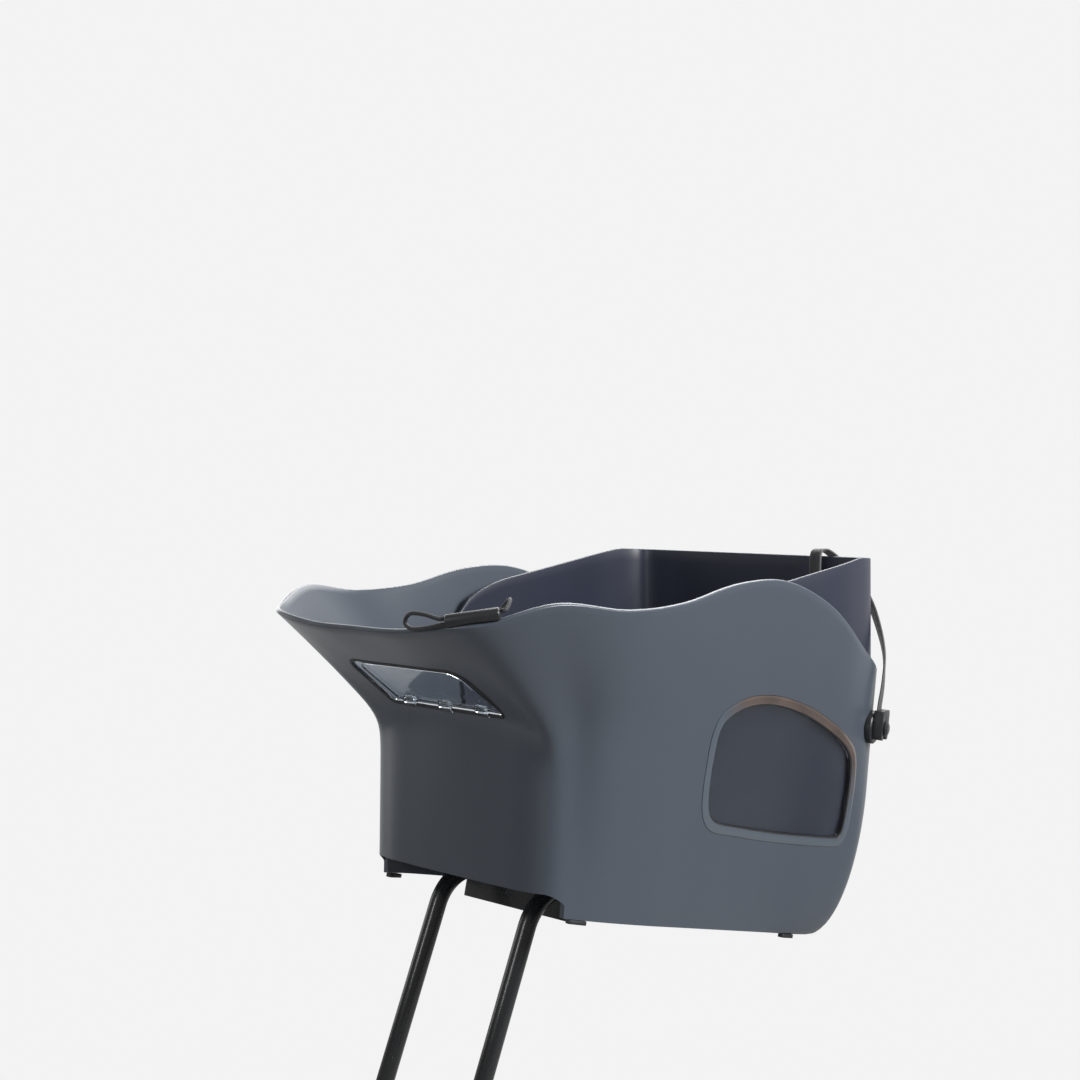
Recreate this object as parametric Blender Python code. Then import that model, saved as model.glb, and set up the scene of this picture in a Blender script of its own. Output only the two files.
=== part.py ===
"""A moulded dog basket that is carried behind the handlebar of a bicycle.

The origin lies between the lower ends of the support tube, where the bicycle takes them. +Z is up, the front of the
basket faces -Y and the rider's left is +X. Lengths are in metres.
"""
import math

import bmesh
import bpy
from mathutils import Matrix, Vector

for old_object in list(bpy.data.objects):
    bpy.data.objects.remove(old_object)

MM = 0.001

# Shell: overall sizes, measured from a point level with the front lower edge and midway along the tub
rim_half_width = 156 * MM
rim_front_reach = 221 * MM
rim_rear_reach = 251 * MM
rim_height = 243 * MM
base_half_width = 111.5 * MM
base_front_reach = 116 * MM
base_rear_reach = 211 * MM
base_slope = math.radians(10)
wall = 4 * MM
seat_gap = 0.3 * MM
running_gap = 0.08 * MM
cut_overrun = 12 * MM

# How softly the front lip turns outwards, and the share of the height at which the rear stops bellying
knee_softness_share = 0.03
belly_share = 0.565

# Half outline from the middle of the front to the middle of the rear, as shares of the sizes above:
# rim across, rim along, rim height, base across, base along, how much the lip flares, how much the rear bellies
# and the height at which the lip turns outwards
outline_shares = (
    (0.000, -0.992, 0.821, 0.000, -1.000, 0.980, 0.000, 0.697),
    (0.301, -0.993, 0.823, 0.383, -0.998, 0.987, 0.000, 0.692),
    (0.580, -0.975, 0.843, 0.689, -0.984, 0.982, 0.000, 0.641),
    (0.753, -0.897, 0.863, 0.863, -0.907, 0.930, 0.000, 0.587),
    (0.914, -0.704, 0.922, 0.931, -0.741, 0.781, 0.000, 0.615),
    (0.988, -0.437, 0.907, 0.977, -0.506, 0.413, 0.000, 0.655),
    (0.990, -0.160, 0.930, 0.996, -0.130, 0.120, 0.000, 0.685),
    (0.997, 0.115, 0.992, 0.978, 0.190, 0.000, 0.000, 0.700),
    (0.997, 0.350, 0.998, 0.960, 0.440, 0.000, 0.000, 0.700),
    (0.979, 0.605, 0.915, 0.947, 0.666, 0.000, 0.061, 0.700),
    (0.936, 0.815, 0.782, 0.939, 0.856, 0.000, 0.416, 0.700),
    (0.851, 0.975, 0.690, 0.870, 0.992, 0.000, 0.797, 0.700),
    (0.618, 1.005, 0.650, 0.639, 1.012, 0.000, 0.946, 0.700),
    (0.300, 1.005, 0.634, 0.312, 1.013, 0.000, 0.990, 0.700),
    (0.000, 1.005, 0.630, 0.000, 1.013, 0.000, 1.000, 0.700),
)
rear_station = len(outline_shares) - 1
steps_per_station = 3
row_shares = (0, 0.03, 0.08, 0.15, 0.25, 0.38, 0.52, 0.6, 0.66, 0.72, 0.78, 0.84, 0.91, 1.0)

# Floor, skirt arch and mat, as heights over the plane of the lower edge
floor_height = 22 * MM
floor_thickness = 4 * MM
arch_half_width = 101.5 * MM
arch_height = 14 * MM
arch_radius = 10 * MM
arch_depth = 19.5 * MM
mat_thickness = 5 * MM
mat_inset = 7 * MM

# Back panel
panel_thickness = 3 * MM
panel_clearance = 1.2 * MM
panel_bend_height = 172 * MM
panel_lean = math.radians(4)
panel_front_step = 20
panel_top_height = 265 * MM
panel_wing_slope = math.radians(11.5)
panel_wing_level_reach = 216 * MM
panel_front_height = 205 * MM
panel_front_round = 60 * MM
panel_low_shares = (0, 0.06, 0.13, 0.21, 0.3, 0.41, 0.55, 0.7, 0.85)
panel_high_shares = (0, 0.08, 0.4, 0.7, 0.93, 1)

# Windows
front_window_width = 131 * MM
front_window_length = 64 * MM
front_window_top_radius = 16 * MM
front_window_low_radius = 9 * MM
front_window_low_share = 0.69
front_window_top_share = 0.875
front_bezel = 3 * MM
side_bezel = 8 * MM
lens_recess = 1.2 * MM
lens_thickness = 2.4 * MM
seal_rise = 0.5 * MM
window_overrun = 6 * MM
front_window_cut = 27 * MM
side_window_length = 194 * MM
side_window_height = 132 * MM
side_window_start = 22 * MM
side_window_low = 23 * MM
# Side window outline, as shares of its length from its front end and of its height from its lowest point
side_window_shares = (
    (0.00, 0.62), (0.005, 0.79), (0.05, 0.91), (0.17, 0.985), (0.31, 1.00), (0.45, 0.975), (0.63, 0.905),
    (0.79, 0.80), (0.92, 0.69), (0.985, 0.58), (1.00, 0.42), (0.995, 0.22), (0.985, 0.08), (0.95, 0.01),
    (0.88, 0.00), (0.55, 0.065), (0.25, 0.15), (0.10, 0.20), (0.03, 0.30), (0.005, 0.46),
)
tab_width = 12 * MM
tab_height = 5 * MM
tab_thickness = 2 * MM
tab_spacing = 40 * MM
tab_root = 3 * MM
tab_lift = 2.4 * MM

# Support tube under the floor
tube_diameter = 14 * MM
tube_wall = 1.5 * MM
leg_half_spacing = 50 * MM
rail_start = 72 * MM
rail_end = 245 * MM
bend_radius = 36 * MM
leg_rake = math.radians(20)
leg_length = 180 * MM
plug_length = 6 * MM
plug_rim = 1 * MM

# Cross plates, bolts, washers and nuts
plate_half_width = 62 * MM
plate_thickness = 3 * MM
plate_depth = 38 * MM
plate_flange = 13 * MM
front_plate_start = 75 * MM
rear_plate_start = 200 * MM
bolt_half_spacing = 28 * MM
bolt_radius = 3 * MM
bolt_head_radius = 7 * MM
bolt_head_height = 2.5 * MM
washer_radius = 6.5 * MM
washer_thickness = 1.2 * MM
nut_radius = 5.7 * MM
nut_height = 5 * MM
bolt_tail = 1.5 * MM

# Feet under the skirt
foot_length = 16 * MM
foot_width = 6 * MM
foot_height = 3 * MM
foot_inset = 2 * MM

# Rear anchor buttons, their screws and the clip
anchor_station = 10.75
anchor_row_share = 0.78
anchor_radius = 14 * MM
anchor_thickness = 4 * MM
post_radius = 4 * MM
post_length = 8.6 * MM
post_head_radius = 6.5 * MM
post_head_height = 2.5 * MM
screw_radius = 2 * MM
screw_head_radius = 5 * MM
screw_head_height = 2.4 * MM
clip_width = 20 * MM
clip_height = 25 * MM
clip_thickness = 8 * MM
clip_radius = 3 * MM
clip_seat = 3 * MM
screw_reach = 8 * MM
screw_stand = 1.2 * MM

# Straps and elastic cord
strap_width = 12 * MM
strap_thickness = 2 * MM
front_strap_width = 16 * MM
front_strap_thickness = 1.8 * MM
front_strap_stand = 1 * MM
sewn_length = 10 * MM
cord_diameter = 3 * MM
sleeve_radius = 4.5 * MM
sleeve_length = 38 * MM
sleeve_station = 2.7
sleeve_lift = 5.8 * MM
sleeve_depth = 2.5 * MM
bore_offset = 2.1 * MM

# Middle line of the rear strap in millimetres from the clip to the top of its hanging part, with its facing
rear_strap_rows = (
    (142.2, 236.0, 129, 0.92, 0.39, 0.0),
    (142.6, 237.0, 141, 0.92, 0.39, 0.0),
    (142.8, 240.5, 160, 0.88, 0.46, 0.0),
    (140.0, 244.8, 183, 0.76, 0.63, 0.1),
    (131.5, 247.6, 206, 0.58, 0.78, 0.2),
    (119.5, 249.6, 228, 0.42, 0.84, 0.3),
    (102.5, 249.8, 247, 0.25, 0.85, 0.45),
    (88.0, 247.0, 261, 0.12, 0.75, 0.65),
    (80.0, 242.0, 268.8, 0.05, 0.45, 0.9),
    (77.0, 235.6, 270.3, 0.0, 0.0, 1.0),
    (76.0, 231.2, 267.6, 0.0, -0.8, 0.6),
    (76.0, 230.2, 262, 0.0, -1.0, 0.1),
)
rear_hang_height = 186 * MM
front_strap_station = 2.1
front_strap_rows = (0.955, 0.9, 0.84, 0.78, 0.735, 0.7)
# How the front webbing leaves the lip, as shares of the way back and down to where it hangs straight
front_strap_drop_shares = ((0.32, 0.2), (0.62, 0.45), (0.9, 0.74), (1, 1))
front_strap_fall = 31 * MM
front_hang_height = 98 * MM
front_hang_row = 0.5
front_hang_gap = 20 * MM

# Front fixing plate and its screw
fixing_row = 0.9
fixing_length = 30 * MM
fixing_shift = 5 * MM
fixing_height = 14 * MM
fixing_thickness = 2 * MM
fixing_radius = 4 * MM
cord_hole_shift = 14 * MM
fixing_screw_bite = 2.8 * MM
# Elastic cord from the plate to the sleeve: the share of the way, and its lift as a share of the sleeve's
cord_rise_shares = ((0.3, 0), (0.62, 0.1), (0.95, 1.2))
cord_station_gap = 1.35

# Elastic cord in millimetres: along the sleeve from its front end, up from it and inwards, round the pull loop
loop_rows = (
    (0, 2.1, 0), (-4, 2.2, 0), (-14, 6.4, 4.5), (-24, 8.2, 12.5), (-29, 5.4, 18), (-30, 1, 19.5), (-25, -2.4, 14.5),
    (-14, -2.8, 5), (-4, -2.1, 0),
)

# Snap hooks, downwards from the bar of the eye
eye_wire = 3 * MM
eye_rows = ((-8.6, 0), (-3, 0), (3, 0), (8.6, 0), (11, -2), (10.6, -5.8), (6.5, -9.6), (0, -11), (-6.5, -9.6),
            (-10.6, -5.8), (-11, -2))
stud_radius = 2 * MM
stud_end = 19 * MM
stud_head_radius = 3 * MM
stud_head_height = 1.5 * MM
eye_bottom = 11 * MM
barrel_radius = 5 * MM
barrel_top = 13 * MM
barrel_bottom = 23 * MM
barrel_round = 1 * MM
block_top = 21.5 * MM
block_bottom = 25 * MM
block_half_depth = 3.8 * MM
hook_wire = 4 * MM
hook_half_width = 9 * MM
hook_bottom = 61 * MM
nose_rise = 5 * MM
cheek_inside = 1.8 * MM
cheek_width = 5.6 * MM
cheek_bottom = 31 * MM
pin_across = 6.2 * MM
pin_down = 28 * MM
pin_radius = 1 * MM
pin_length = 9 * MM
gate_wire = 2.2 * MM
gate_eye_radius = 2.4 * MM
gate_eye_width = 3 * MM
gate_end_across = 3.6 * MM
gate_end_down = 49.5 * MM

# Slide on the rear strap
adjuster_width = 19 * MM
adjuster_height = 17 * MM
adjuster_thickness = 6 * MM
adjuster_radius = 4 * MM
adjuster_low_gap = 32 * MM
rear_hook_yaw = math.radians(0)


def spline(rows, position):
    """Catmull-Rom through four rows of numbers, from the second row at 0 to the third at 1."""
    before, start, end, after = rows
    values = []
    for a, b, c, d in zip(before, start, end, after):
        bend = 2 * a - 5 * b + 4 * c - d
        twist = 3 * b - a - 3 * c + d
        values.append(b + 0.5 * position * (c - a + position * (bend + position * twist)))
    return values


def smooth_route(points, steps):
    """Points on a smooth curve through an open list of points."""
    ends = [points[0], *points, points[-1]]
    route = []
    for index in range(len(points) - 1):
        for step in range(steps):
            route.append(Vector(spline(ends[index:index + 4], step / steps)))
    return [*route, Vector(points[-1])]


def outline_row(index):
    """A row of the outline table, counted on round the other side of the tub in mirror image."""
    index %= 2 * rear_station
    if index <= rear_station:
        return outline_shares[index]
    row = list(outline_shares[2 * rear_station - index])
    row[0] = -row[0]
    row[3] = -row[3]
    return row


def base_plane(y):
    """Height of the plane of the lower edge, which falls towards the rear."""
    return -math.tan(base_slope) * (y + base_front_reach)


def knee(row, turn):
    """How far the lip has turned outwards, from 0 at the lower edge to 1 at the rim."""
    def soft(share):
        return math.log(1 + math.exp((share - turn) / knee_softness_share))
    return (soft(row) - soft(0)) / (soft(1) - soft(0))


def bare_skin(station, row):
    """Point on the outside of the shell."""
    index = math.floor(station)
    rows = [outline_row(index + step) for step in (-1, 0, 1, 2)]
    rim_x, rim_y, rim_z, base_x, base_y, flare, belly, turn = spline(rows, station - index)
    rim = Vector((rim_x * rim_half_width, rim_y * (rim_front_reach if rim_y < 0 else rim_rear_reach), 0))
    rim.z = rim_z * rim_height
    base = Vector((base_x * base_half_width, base_y * (base_front_reach if base_y < 0 else base_rear_reach), 0))
    base.z = base_plane(base.y)
    bulge = math.sqrt(1 - (1 - min(max(row, 0) / belly_share, 1)) ** 2)
    spread = (1 - flare - belly) * row + flare * knee(row, turn) + belly * bulge
    point = base.lerp(rim, spread)
    point.z = base.z + row * (rim.z - base.z)
    return point


def skin_normal(station, row):
    step = 0.01
    along = bare_skin(station + step, row) - bare_skin(station - step, row)
    upward = bare_skin(station, row + step) - bare_skin(station, max(row - step, 0))
    return along.cross(upward).normalized()


def skin(station, row, depth=0):
    """Point at a depth below the outside of the shell."""
    return bare_skin(station, row) - depth * skin_normal(station, row)


def level_point(station, height, depth):
    """Point at a height square to the plane of the lower edge and a depth below the outside."""
    tall = bare_skin(station, 1).z - bare_skin(station, 0).z
    lift = height / math.cos(base_slope)
    row = lift / tall
    for _ in range(20):
        point = skin(station, row, depth)
        row = max(row - (point.z - base_plane(point.y) - lift) / tall, 0)
    return Vector((point.x, point.y, base_plane(point.y) + lift))


def material(name, colour, roughness, metallic=0.0, alpha=1.0):
    """Principled material from an sRGB hex colour."""
    made = bpy.data.materials.new(name)
    made.use_nodes = True
    shader = made.node_tree.nodes["Principled BSDF"]
    channels = [int(colour[index:index + 2], 16) / 255 for index in (0, 2, 4)]
    linear = [((c + 0.055) / 1.055) ** 2.4 if c > 0.04045 else c / 12.92 for c in channels]
    shader.inputs["Base Color"].default_value = (*linear, 1)
    shader.inputs["Roughness"].default_value = roughness
    shader.inputs["Metallic"].default_value = metallic
    shader.inputs["Alpha"].default_value = alpha
    return made


# The part's origin lies between the lower ends of the legs, so the shell stands above and behind it.
slope_rearward = Vector((0, math.cos(base_slope), -math.sin(base_slope)))
slope_up = Vector((0, math.sin(base_slope), math.cos(base_slope)))
base_corner = Vector((0, -base_front_reach, 0))
tube_radius = tube_diameter / 2
rail_height = floor_height - seat_gap - tube_radius


def on_base(x, along, height):
    """Point at a distance along the sloping floor and a height over the lower edge."""
    return Vector((x, 0, 0)) + base_corner + along * slope_rearward + height * slope_up


def leg_points():
    """Left half of the support tube, from the lower end of the leg to the middle of the rear bend."""
    rail_front = on_base(leg_half_spacing, rail_start, rail_height)
    turn = math.pi / 2 - leg_rake + base_slope

    def inward(angle):
        return Vector((0, -math.sin(angle), -math.cos(angle)))
    centre = rail_front + bend_radius * inward(base_slope)
    arc = [centre - bend_radius * inward(base_slope - turn * step / 8) for step in range(9)]
    leg_end = arc[-1] + leg_length * Vector((0, -math.sin(leg_rake), -math.cos(leg_rake)))
    rear = []
    for step in range(9):
        angle = math.pi / 2 * step / 8
        across = leg_half_spacing * math.cos(angle)
        rear.append(on_base(across, rail_end + leg_half_spacing * math.sin(angle), rail_height))
    return [leg_end, *reversed(arc), *rear]


left_leg = leg_points()
leg_end = left_leg[0]
leg_direction = Vector((0, -math.sin(leg_rake), -math.cos(leg_rake)))
place = Vector((0, -leg_end.y, -leg_end.z))


def add_object(name, points, faces, finish, location=None, turn=None):
    """Closed mesh object in the basket's place, with its normals outwards and its round faces smooth."""
    mesh = bpy.data.meshes.new(name)
    mesh.from_pydata([tuple(point) for point in points], [], faces)
    shape = bmesh.new()
    shape.from_mesh(mesh)
    bmesh.ops.recalc_face_normals(shape, faces=shape.faces)
    shape.to_mesh(mesh)
    shape.free()
    mesh.shade_smooth()
    mesh.set_sharp_from_angle(angle=math.radians(35))
    made = bpy.data.objects.new(name, mesh)
    bpy.context.scene.collection.objects.link(made)
    made.location = place + (location or Vector())
    if turn is not None:
        made.rotation_euler = turn.to_euler()
    if finish is not None:
        mesh.materials.append(finish)
    else:
        made.hide_render = True
        made.display_type = "WIRE"
    return made


def combine(piece, other, operation):
    cut = piece.modifiers.new(operation.title() + " " + other.name, "BOOLEAN")
    cut.operation = operation
    cut.object = other
    cut.solver = "EXACT"


def grid_faces(columns, rows, closed, start=0, flip=False):
    faces = []
    for i in range(columns if closed else columns - 1):
        for j in range(rows - 1):
            a = start + i * rows + j
            b = start + (i + 1) % columns * rows + j
            face = [a, b, b + 1, a + 1]
            faces.append(face[::-1] if flip else face)
    return faces


def sheet(name, outer, inner, closed, finish, location=None, turn=None):
    """Closed solid between two grids of points, each a list of columns."""
    columns = len(outer)
    rows = len(outer[0])
    points = [point for column in outer for point in column] + [point for column in inner for point in column]
    back = columns * rows
    faces = grid_faces(columns, rows, closed) + grid_faces(columns, rows, closed, back, True)
    for i in range(columns if closed else columns - 1):
        a = i * rows
        b = (i + 1) % columns * rows
        faces.append([a, back + a, back + b, b])
        top = rows - 1
        faces.append([a + top, b + top, back + b + top, back + a + top])
    if not closed:
        last = (columns - 1) * rows
        for j in range(rows - 1):
            faces.append([j, j + 1, back + j + 1, back + j])
            faces.append([last + j, back + last + j, back + last + j + 1, last + j + 1])
    return add_object(name, points, faces, finish, location, turn)


def loft(name, loops, finish, location=None, turn=None):
    """Closed solid through a list of closed loops, with flat ends."""
    size = len(loops[0])
    points = [point for loop in loops for point in loop]
    faces = []
    for level in range(len(loops) - 1):
        for i in range(size):
            a = level * size + i
            b = level * size + (i + 1) % size
            faces.append([a, b, b + size, a + size])
    faces.append(list(range(size))[::-1])
    faces.append(list(range((len(loops) - 1) * size, len(loops) * size)))
    return add_object(name, points, faces, finish, location, turn)


def ring_points(centre, across, up, radius, sides):
    angles = [2 * math.pi * step / sides for step in range(sides)]
    return [centre + radius * (math.cos(angle) * across + math.sin(angle) * up) for angle in angles]


def turned(name, profile, centre, axis, finish, sides=20, location=None, turn=None):
    """Solid turned round an axis: the profile lists radius and distance along the axis."""
    axis = axis.normalized()
    across = axis.orthogonal().normalized()
    up = axis.cross(across)
    loops = [ring_points(centre + along * axis, across, up, radius, sides) for radius, along in profile]
    return loft(name, loops, finish, location, turn)


def rod(name, route, radius, sides, finish, closed=False, location=None, turn=None):
    """Round bar along a route, with its cross sections turned as little as possible."""
    count = len(route)
    frames = []
    across = None
    for index in range(count):
        ahead = route[(index + 1) % count] if closed else route[min(index + 1, count - 1)]
        behind = route[index - 1] if closed else route[max(index - 1, 0)]
        tangent = (ahead - behind).normalized()
        across = tangent.orthogonal() if across is None else across - across.dot(tangent) * tangent
        across = across.normalized()
        frames.append(ring_points(route[index], across, tangent.cross(across), radius, sides))
    if not closed:
        return loft(name, frames, finish, location, turn)
    points = [point for frame in frames for point in frame]
    faces = []
    for i in range(count):
        for j in range(sides):
            a = i * sides
            b = (i + 1) % count * sides
            faces.append([a + j, b + j, b + (j + 1) % sides, a + (j + 1) % sides])
    return add_object(name, points, faces, finish, location, turn)


def ribbon(name, route, facings, width, thickness, finish):
    """Flat strap along a route; each facing points out of the strap's broad side."""
    loops = []
    for index, point in enumerate(route):
        tangent = route[min(index + 1, len(route) - 1)] - route[max(index - 1, 0)]
        facing = (facings[index] - facings[index].project(tangent)).normalized() * thickness / 2
        side = tangent.cross(facing).normalized() * width / 2
        loops.append([point + side + facing, point - side + facing, point - side - facing, point + side - facing])
    return loft(name, loops, finish)


def prism(name, outline, across, up, centre, low, high, finish=None):
    """Solid with a flat outline, between two distances from the plane of its centre."""
    out = across.cross(up).normalized()
    flat = [centre + a * across + b * up for a, b in outline]
    return loft(name, [[point + low * out for point in flat], [point + high * out for point in flat]], finish)


def rounded_box(width, height, low_radius, top_radius, steps=5):
    """Outline of a rectangle with round corners, anticlockwise from its lower right corner."""
    outline = []
    corners = ((1, -1, low_radius, -90), (1, 1, top_radius, 0), (-1, 1, top_radius, 90), (-1, -1, low_radius, 180))
    for side, end, radius, start in corners:
        for step in range(steps + 1):
            angle = math.radians(start + 90 * step / steps)
            x = side * (width / 2 - radius) + radius * math.cos(angle)
            outline.append((x, end * (height / 2 - radius) + radius * math.sin(angle)))
    return outline


def inset(outline, amount, steps=1):
    """The same outline, drawn in by an amount; with more steps, its tight corners are eased on the way."""
    count = len(outline)
    drawn = [Vector(point) for point in outline]
    for _ in range(steps):
        moved = []
        for index, point in enumerate(drawn):
            along = (drawn[(index + 1) % count] - drawn[index - 1]).normalized()
            moved.append(point + Vector((-along.y, along.x)) * amount / steps)
        if steps > 1:
            middles = [(moved[index - 1] + moved[(index + 1) % count]) / 2 for index in range(count)]
            moved = [point.lerp(middle, 0.25) for point, middle in zip(moved, middles)]
        drawn = moved
    return drawn


def smooth_loop(points, steps):
    """Points on a smooth curve through a closed list of points."""
    count = len(points)
    loop = []
    for index in range(count):
        rows = [points[(index + step) % count] for step in (-1, 0, 1, 2)]
        for step in range(steps):
            loop.append(tuple(spline(rows, step / steps)))
    return loop


def slab(name, first, last, low, high, outside, inside, finish):
    """Patch of the tub's wall between two stations, two rows and two depths."""
    columns = round((last - first) * steps_per_station)
    rows = round((high - low) / 0.06)
    outer = []
    inner = []
    for column in range(columns + 1):
        station = first + (last - first) * column / columns
        steps = [low + (high - low) * row / rows for row in range(rows + 1)]
        outer.append([skin(station, row, outside) for row in steps])
        inner.append([skin(station, row, inside) for row in steps])
    return sheet(name, outer, inner, False, finish)


def collar(name, centre, axis, outside, inside, height, sides, finish, location=None, turn=None, hexagonal=False):
    """Ring or nut round an axis, from its centre upwards."""
    axis = axis.normalized()
    across = axis.orthogonal().normalized()
    up = axis.cross(across)
    outer = []
    inner = []
    for step in range(sides):
        angle = 2 * math.pi * step / sides
        way = math.cos(angle) * across + math.sin(angle) * up
        face_angle = angle % (math.pi / 3) - math.pi / 6
        radius = outside / math.cos(face_angle) if hexagonal else outside
        outer.append([centre + radius * way, centre + radius * way + height * axis])
        inner.append([centre + inside * way, centre + inside * way + height * axis])
    return sheet(name, outer, inner, True, finish, location, turn)


def cord(name, route, diameter, finish):
    """Round cord along a route."""
    curve = bpy.data.curves.new(name, "CURVE")
    curve.dimensions = "3D"
    curve.bevel_depth = diameter / 2
    curve.bevel_resolution = 2
    curve.use_fill_caps = True
    line = curve.splines.new("POLY")
    line.points.add(len(route) - 1)
    for spot, point in zip(line.points, route):
        spot.co = (*point, 1)
    curve.materials.append(finish)
    made = bpy.data.objects.new(name, curve)
    bpy.context.scene.collection.objects.link(made)
    made.location = place
    return made


across_axis = Vector((1, 0, 0))
rear_axis = Vector((0, 1, 0))
up_axis = Vector((0, 0, 1))

grey_shell = material("grey_blue_polypropylene", "56606B", 0.42)
navy_sheet = material("navy_polypropylene", "2F3445", 0.5)
clear_lens = material("clear_polycarbonate", "E8EEF0", 0.08, alpha=0.3)
black_rubber = material("black_rubber", "141517", 0.6)
smoked_bezel = material("smoked_bezel", "2A2624", 0.15)
black_steel = material("black_powder_coat", "15161A", 0.35, 0.4)
bright_steel = material("bright_steel", "B8BBBE", 0.28, 1.0)
black_plastic = material("black_acetal", "17181A", 0.4)
black_webbing = material("black_webbing", "1B1B1D", 0.85)
mat_foam = material("charcoal_foam", "2B2E33", 0.9)

# Outer shell: tub wall, floor, window openings and the arch in the skirt
stations = [step / steps_per_station for step in range(2 * rear_station * steps_per_station)]
outer_wall = [[skin(station, row) for row in row_shares] for station in stations]
inner_wall = [[skin(station, row, wall) for row in row_shares] for station in stations]
outer_shell = sheet("outer_shell", outer_wall, inner_wall, True, grey_shell)
floor_loops = []
for height in (floor_height, floor_height + floor_thickness):
    floor_loops.append([level_point(station, height, wall / 2) for station in stations])
floor_slab = loft("floor_slab", floor_loops, None)
combine(outer_shell, floor_slab, "UNION")

arch_top = [(-arch_half_width, -arch_depth)]
for side, start in ((-1, 180), (1, 90)):
    for step in range(6):
        angle = math.radians(start - 90 * step / 5)
        x = side * (arch_half_width - arch_radius) + arch_radius * math.cos(angle)
        arch_top.append((x, arch_height - arch_radius + arch_radius * math.sin(angle)))
arch_top.append((arch_half_width, -arch_depth))
arch_centre = Vector((0, -base_front_reach, 0))
arch_cutter = prism("arch_cutter", arch_top, across_axis, up_axis, arch_centre, -arch_depth, arch_depth)
combine(outer_shell, arch_cutter, "DIFFERENCE")

# Windows: each has its opening in the wall, a seal in the opening and a lens in the seal
front_low = bare_skin(0, front_window_low_share)
front_top = bare_skin(0, front_window_top_share)
front_up = (front_top - front_low).normalized()
front_centre = (front_low + front_top) / 2
front_outline = rounded_box(front_window_width, front_window_length, front_window_low_radius, front_window_top_radius)
side_points = []
for along, upward in reversed(side_window_shares):
    side_points.append((side_window_start + along * side_window_length, side_window_low + upward * side_window_height))
side_outline = smooth_loop(side_points, 2)
side_middle = Vector(((rim_half_width + base_half_width) / 2, 0, 0))
side_reach = (rim_half_width - base_half_width) / 2 + window_overrun
windows = (
    ("front", front_outline, across_axis, front_up, front_centre, front_bezel, front_window_cut,
     (-2.34, 2.34, 0.6, 0.97)),
    ("left", side_outline, rear_axis, up_axis, side_middle, side_bezel, side_reach, (6, 11.34, 0.1, 0.88)),
    ("right", side_outline, rear_axis, up_axis, -side_middle, side_bezel, side_reach,
     (16.66, 22, 0.1, 0.88)),
)
for side, outline, across, up, centre, bezel, reach, patch in windows:
    opening = prism(side + "_opening", outline, across, up, centre, -reach, reach)
    combine(outer_shell, opening, "DIFFERENCE")
    seal_edge = prism(side + "_seal_edge", inset(outline, seat_gap), across, up, centre, -reach, reach)
    bezel_line = inset(outline, bezel, 1 if side == "front" else 6)
    seal_hole = prism(side + "_seal_hole", bezel_line, across, up, centre, -reach, reach)
    lens_edge = inset(bezel_line, seat_gap)
    lens_cutter = prism(side + "_lens_edge", lens_edge, across, up, centre, -reach, reach)
    seal_finish = black_rubber if side == "front" else smoked_bezel
    seal = slab(side + "_window_gasket", *patch, -seal_rise, wall, seal_finish)
    combine(seal, seal_edge, "INTERSECT")
    combine(seal, seal_hole, "DIFFERENCE")
    lens = slab(side + "_window_lens", *patch, lens_recess, lens_recess + lens_thickness, clear_lens)
    combine(lens, lens_cutter, "INTERSECT")


def front_window_spot(across, upward):
    """Station and row of a point of the front window, given across and up its slope."""
    station = 0
    row = 0.8
    for _ in range(30):
        offset = bare_skin(station, row) - front_centre
        station += (across - offset.x) / (2 * front_window_length)
        row += (upward - offset.dot(front_up)) / (8 * front_window_length)
    return station, row


front_lens = bpy.data.objects["front_window_lens"]
lens_low = -front_window_length / 2 + front_bezel + seat_gap
for index, across in enumerate((-tab_spacing, 0, tab_spacing)):
    station, row = front_window_spot(across, lens_low)
    out = skin_normal(station, row)
    upward = front_up - front_up.dot(out) * out
    under = seal_rise + 2 * seat_gap
    inner = -lens_recess - lens_thickness / 2
    profile = [(tab_root, inner), (tab_root, under + tab_thickness), (-tab_height, under + tab_thickness + tab_lift)]
    profile += [(-tab_height, under + tab_lift), (seat_gap, under), (seat_gap, inner)]
    spot = bare_skin(station, row)
    tab = prism(f"front_tab_{index}", profile, upward.normalized(), out, spot, -tab_width / 2, tab_width / 2)
    combine(front_lens, tab, "UNION")

# Back panel: follows the rear of the tub, then stands above its rim
panel_depth = wall + panel_clearance
panel_front_station = panel_front_step / steps_per_station


def panel_point(station, height, depth):
    """Point on the back panel at a height above the origin and a depth below the tub's outside."""
    tall = bare_skin(station, 1).z - bare_skin(station, 0).z
    level = min(height, panel_bend_height)
    row = (level - bare_skin(station, 0).z) / tall
    for _ in range(20):
        point = skin(station, row, depth)
        row = max(row + (level - point.z) / tall, 0)
    return Vector((point.x, point.y - (height - level) * math.tan(panel_lean), height))


def panel_top(station):
    reach = panel_point(station, panel_bend_height, panel_depth).y
    front_reach = panel_point(panel_front_station, panel_bend_height, panel_depth).y
    top = panel_top_height - math.tan(panel_wing_slope) * max(panel_wing_level_reach - reach, 0)
    share = min((reach - front_reach) / panel_front_round, 1)
    return top - (1 - math.sqrt(max(1 - (1 - share) ** 2, 0))) * (top - panel_front_height)


panel_faces = ([], [])
for step in range(panel_front_step, 2 * rear_station * steps_per_station - panel_front_step + 1):
    station = step / steps_per_station
    above_bend = panel_top(station) - panel_bend_height
    for side, depth in zip(panel_faces, (panel_depth, panel_depth + panel_thickness)):
        low = level_point(station, floor_height + floor_thickness + seat_gap, depth).z
        heights = [low + (panel_bend_height - low) * share for share in panel_low_shares]
        heights += [panel_bend_height + above_bend * share for share in panel_high_shares]
        side.append([panel_point(station, height, depth) for height in heights])
back_panel = sheet("back_panel", *panel_faces, False, navy_sheet)

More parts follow.
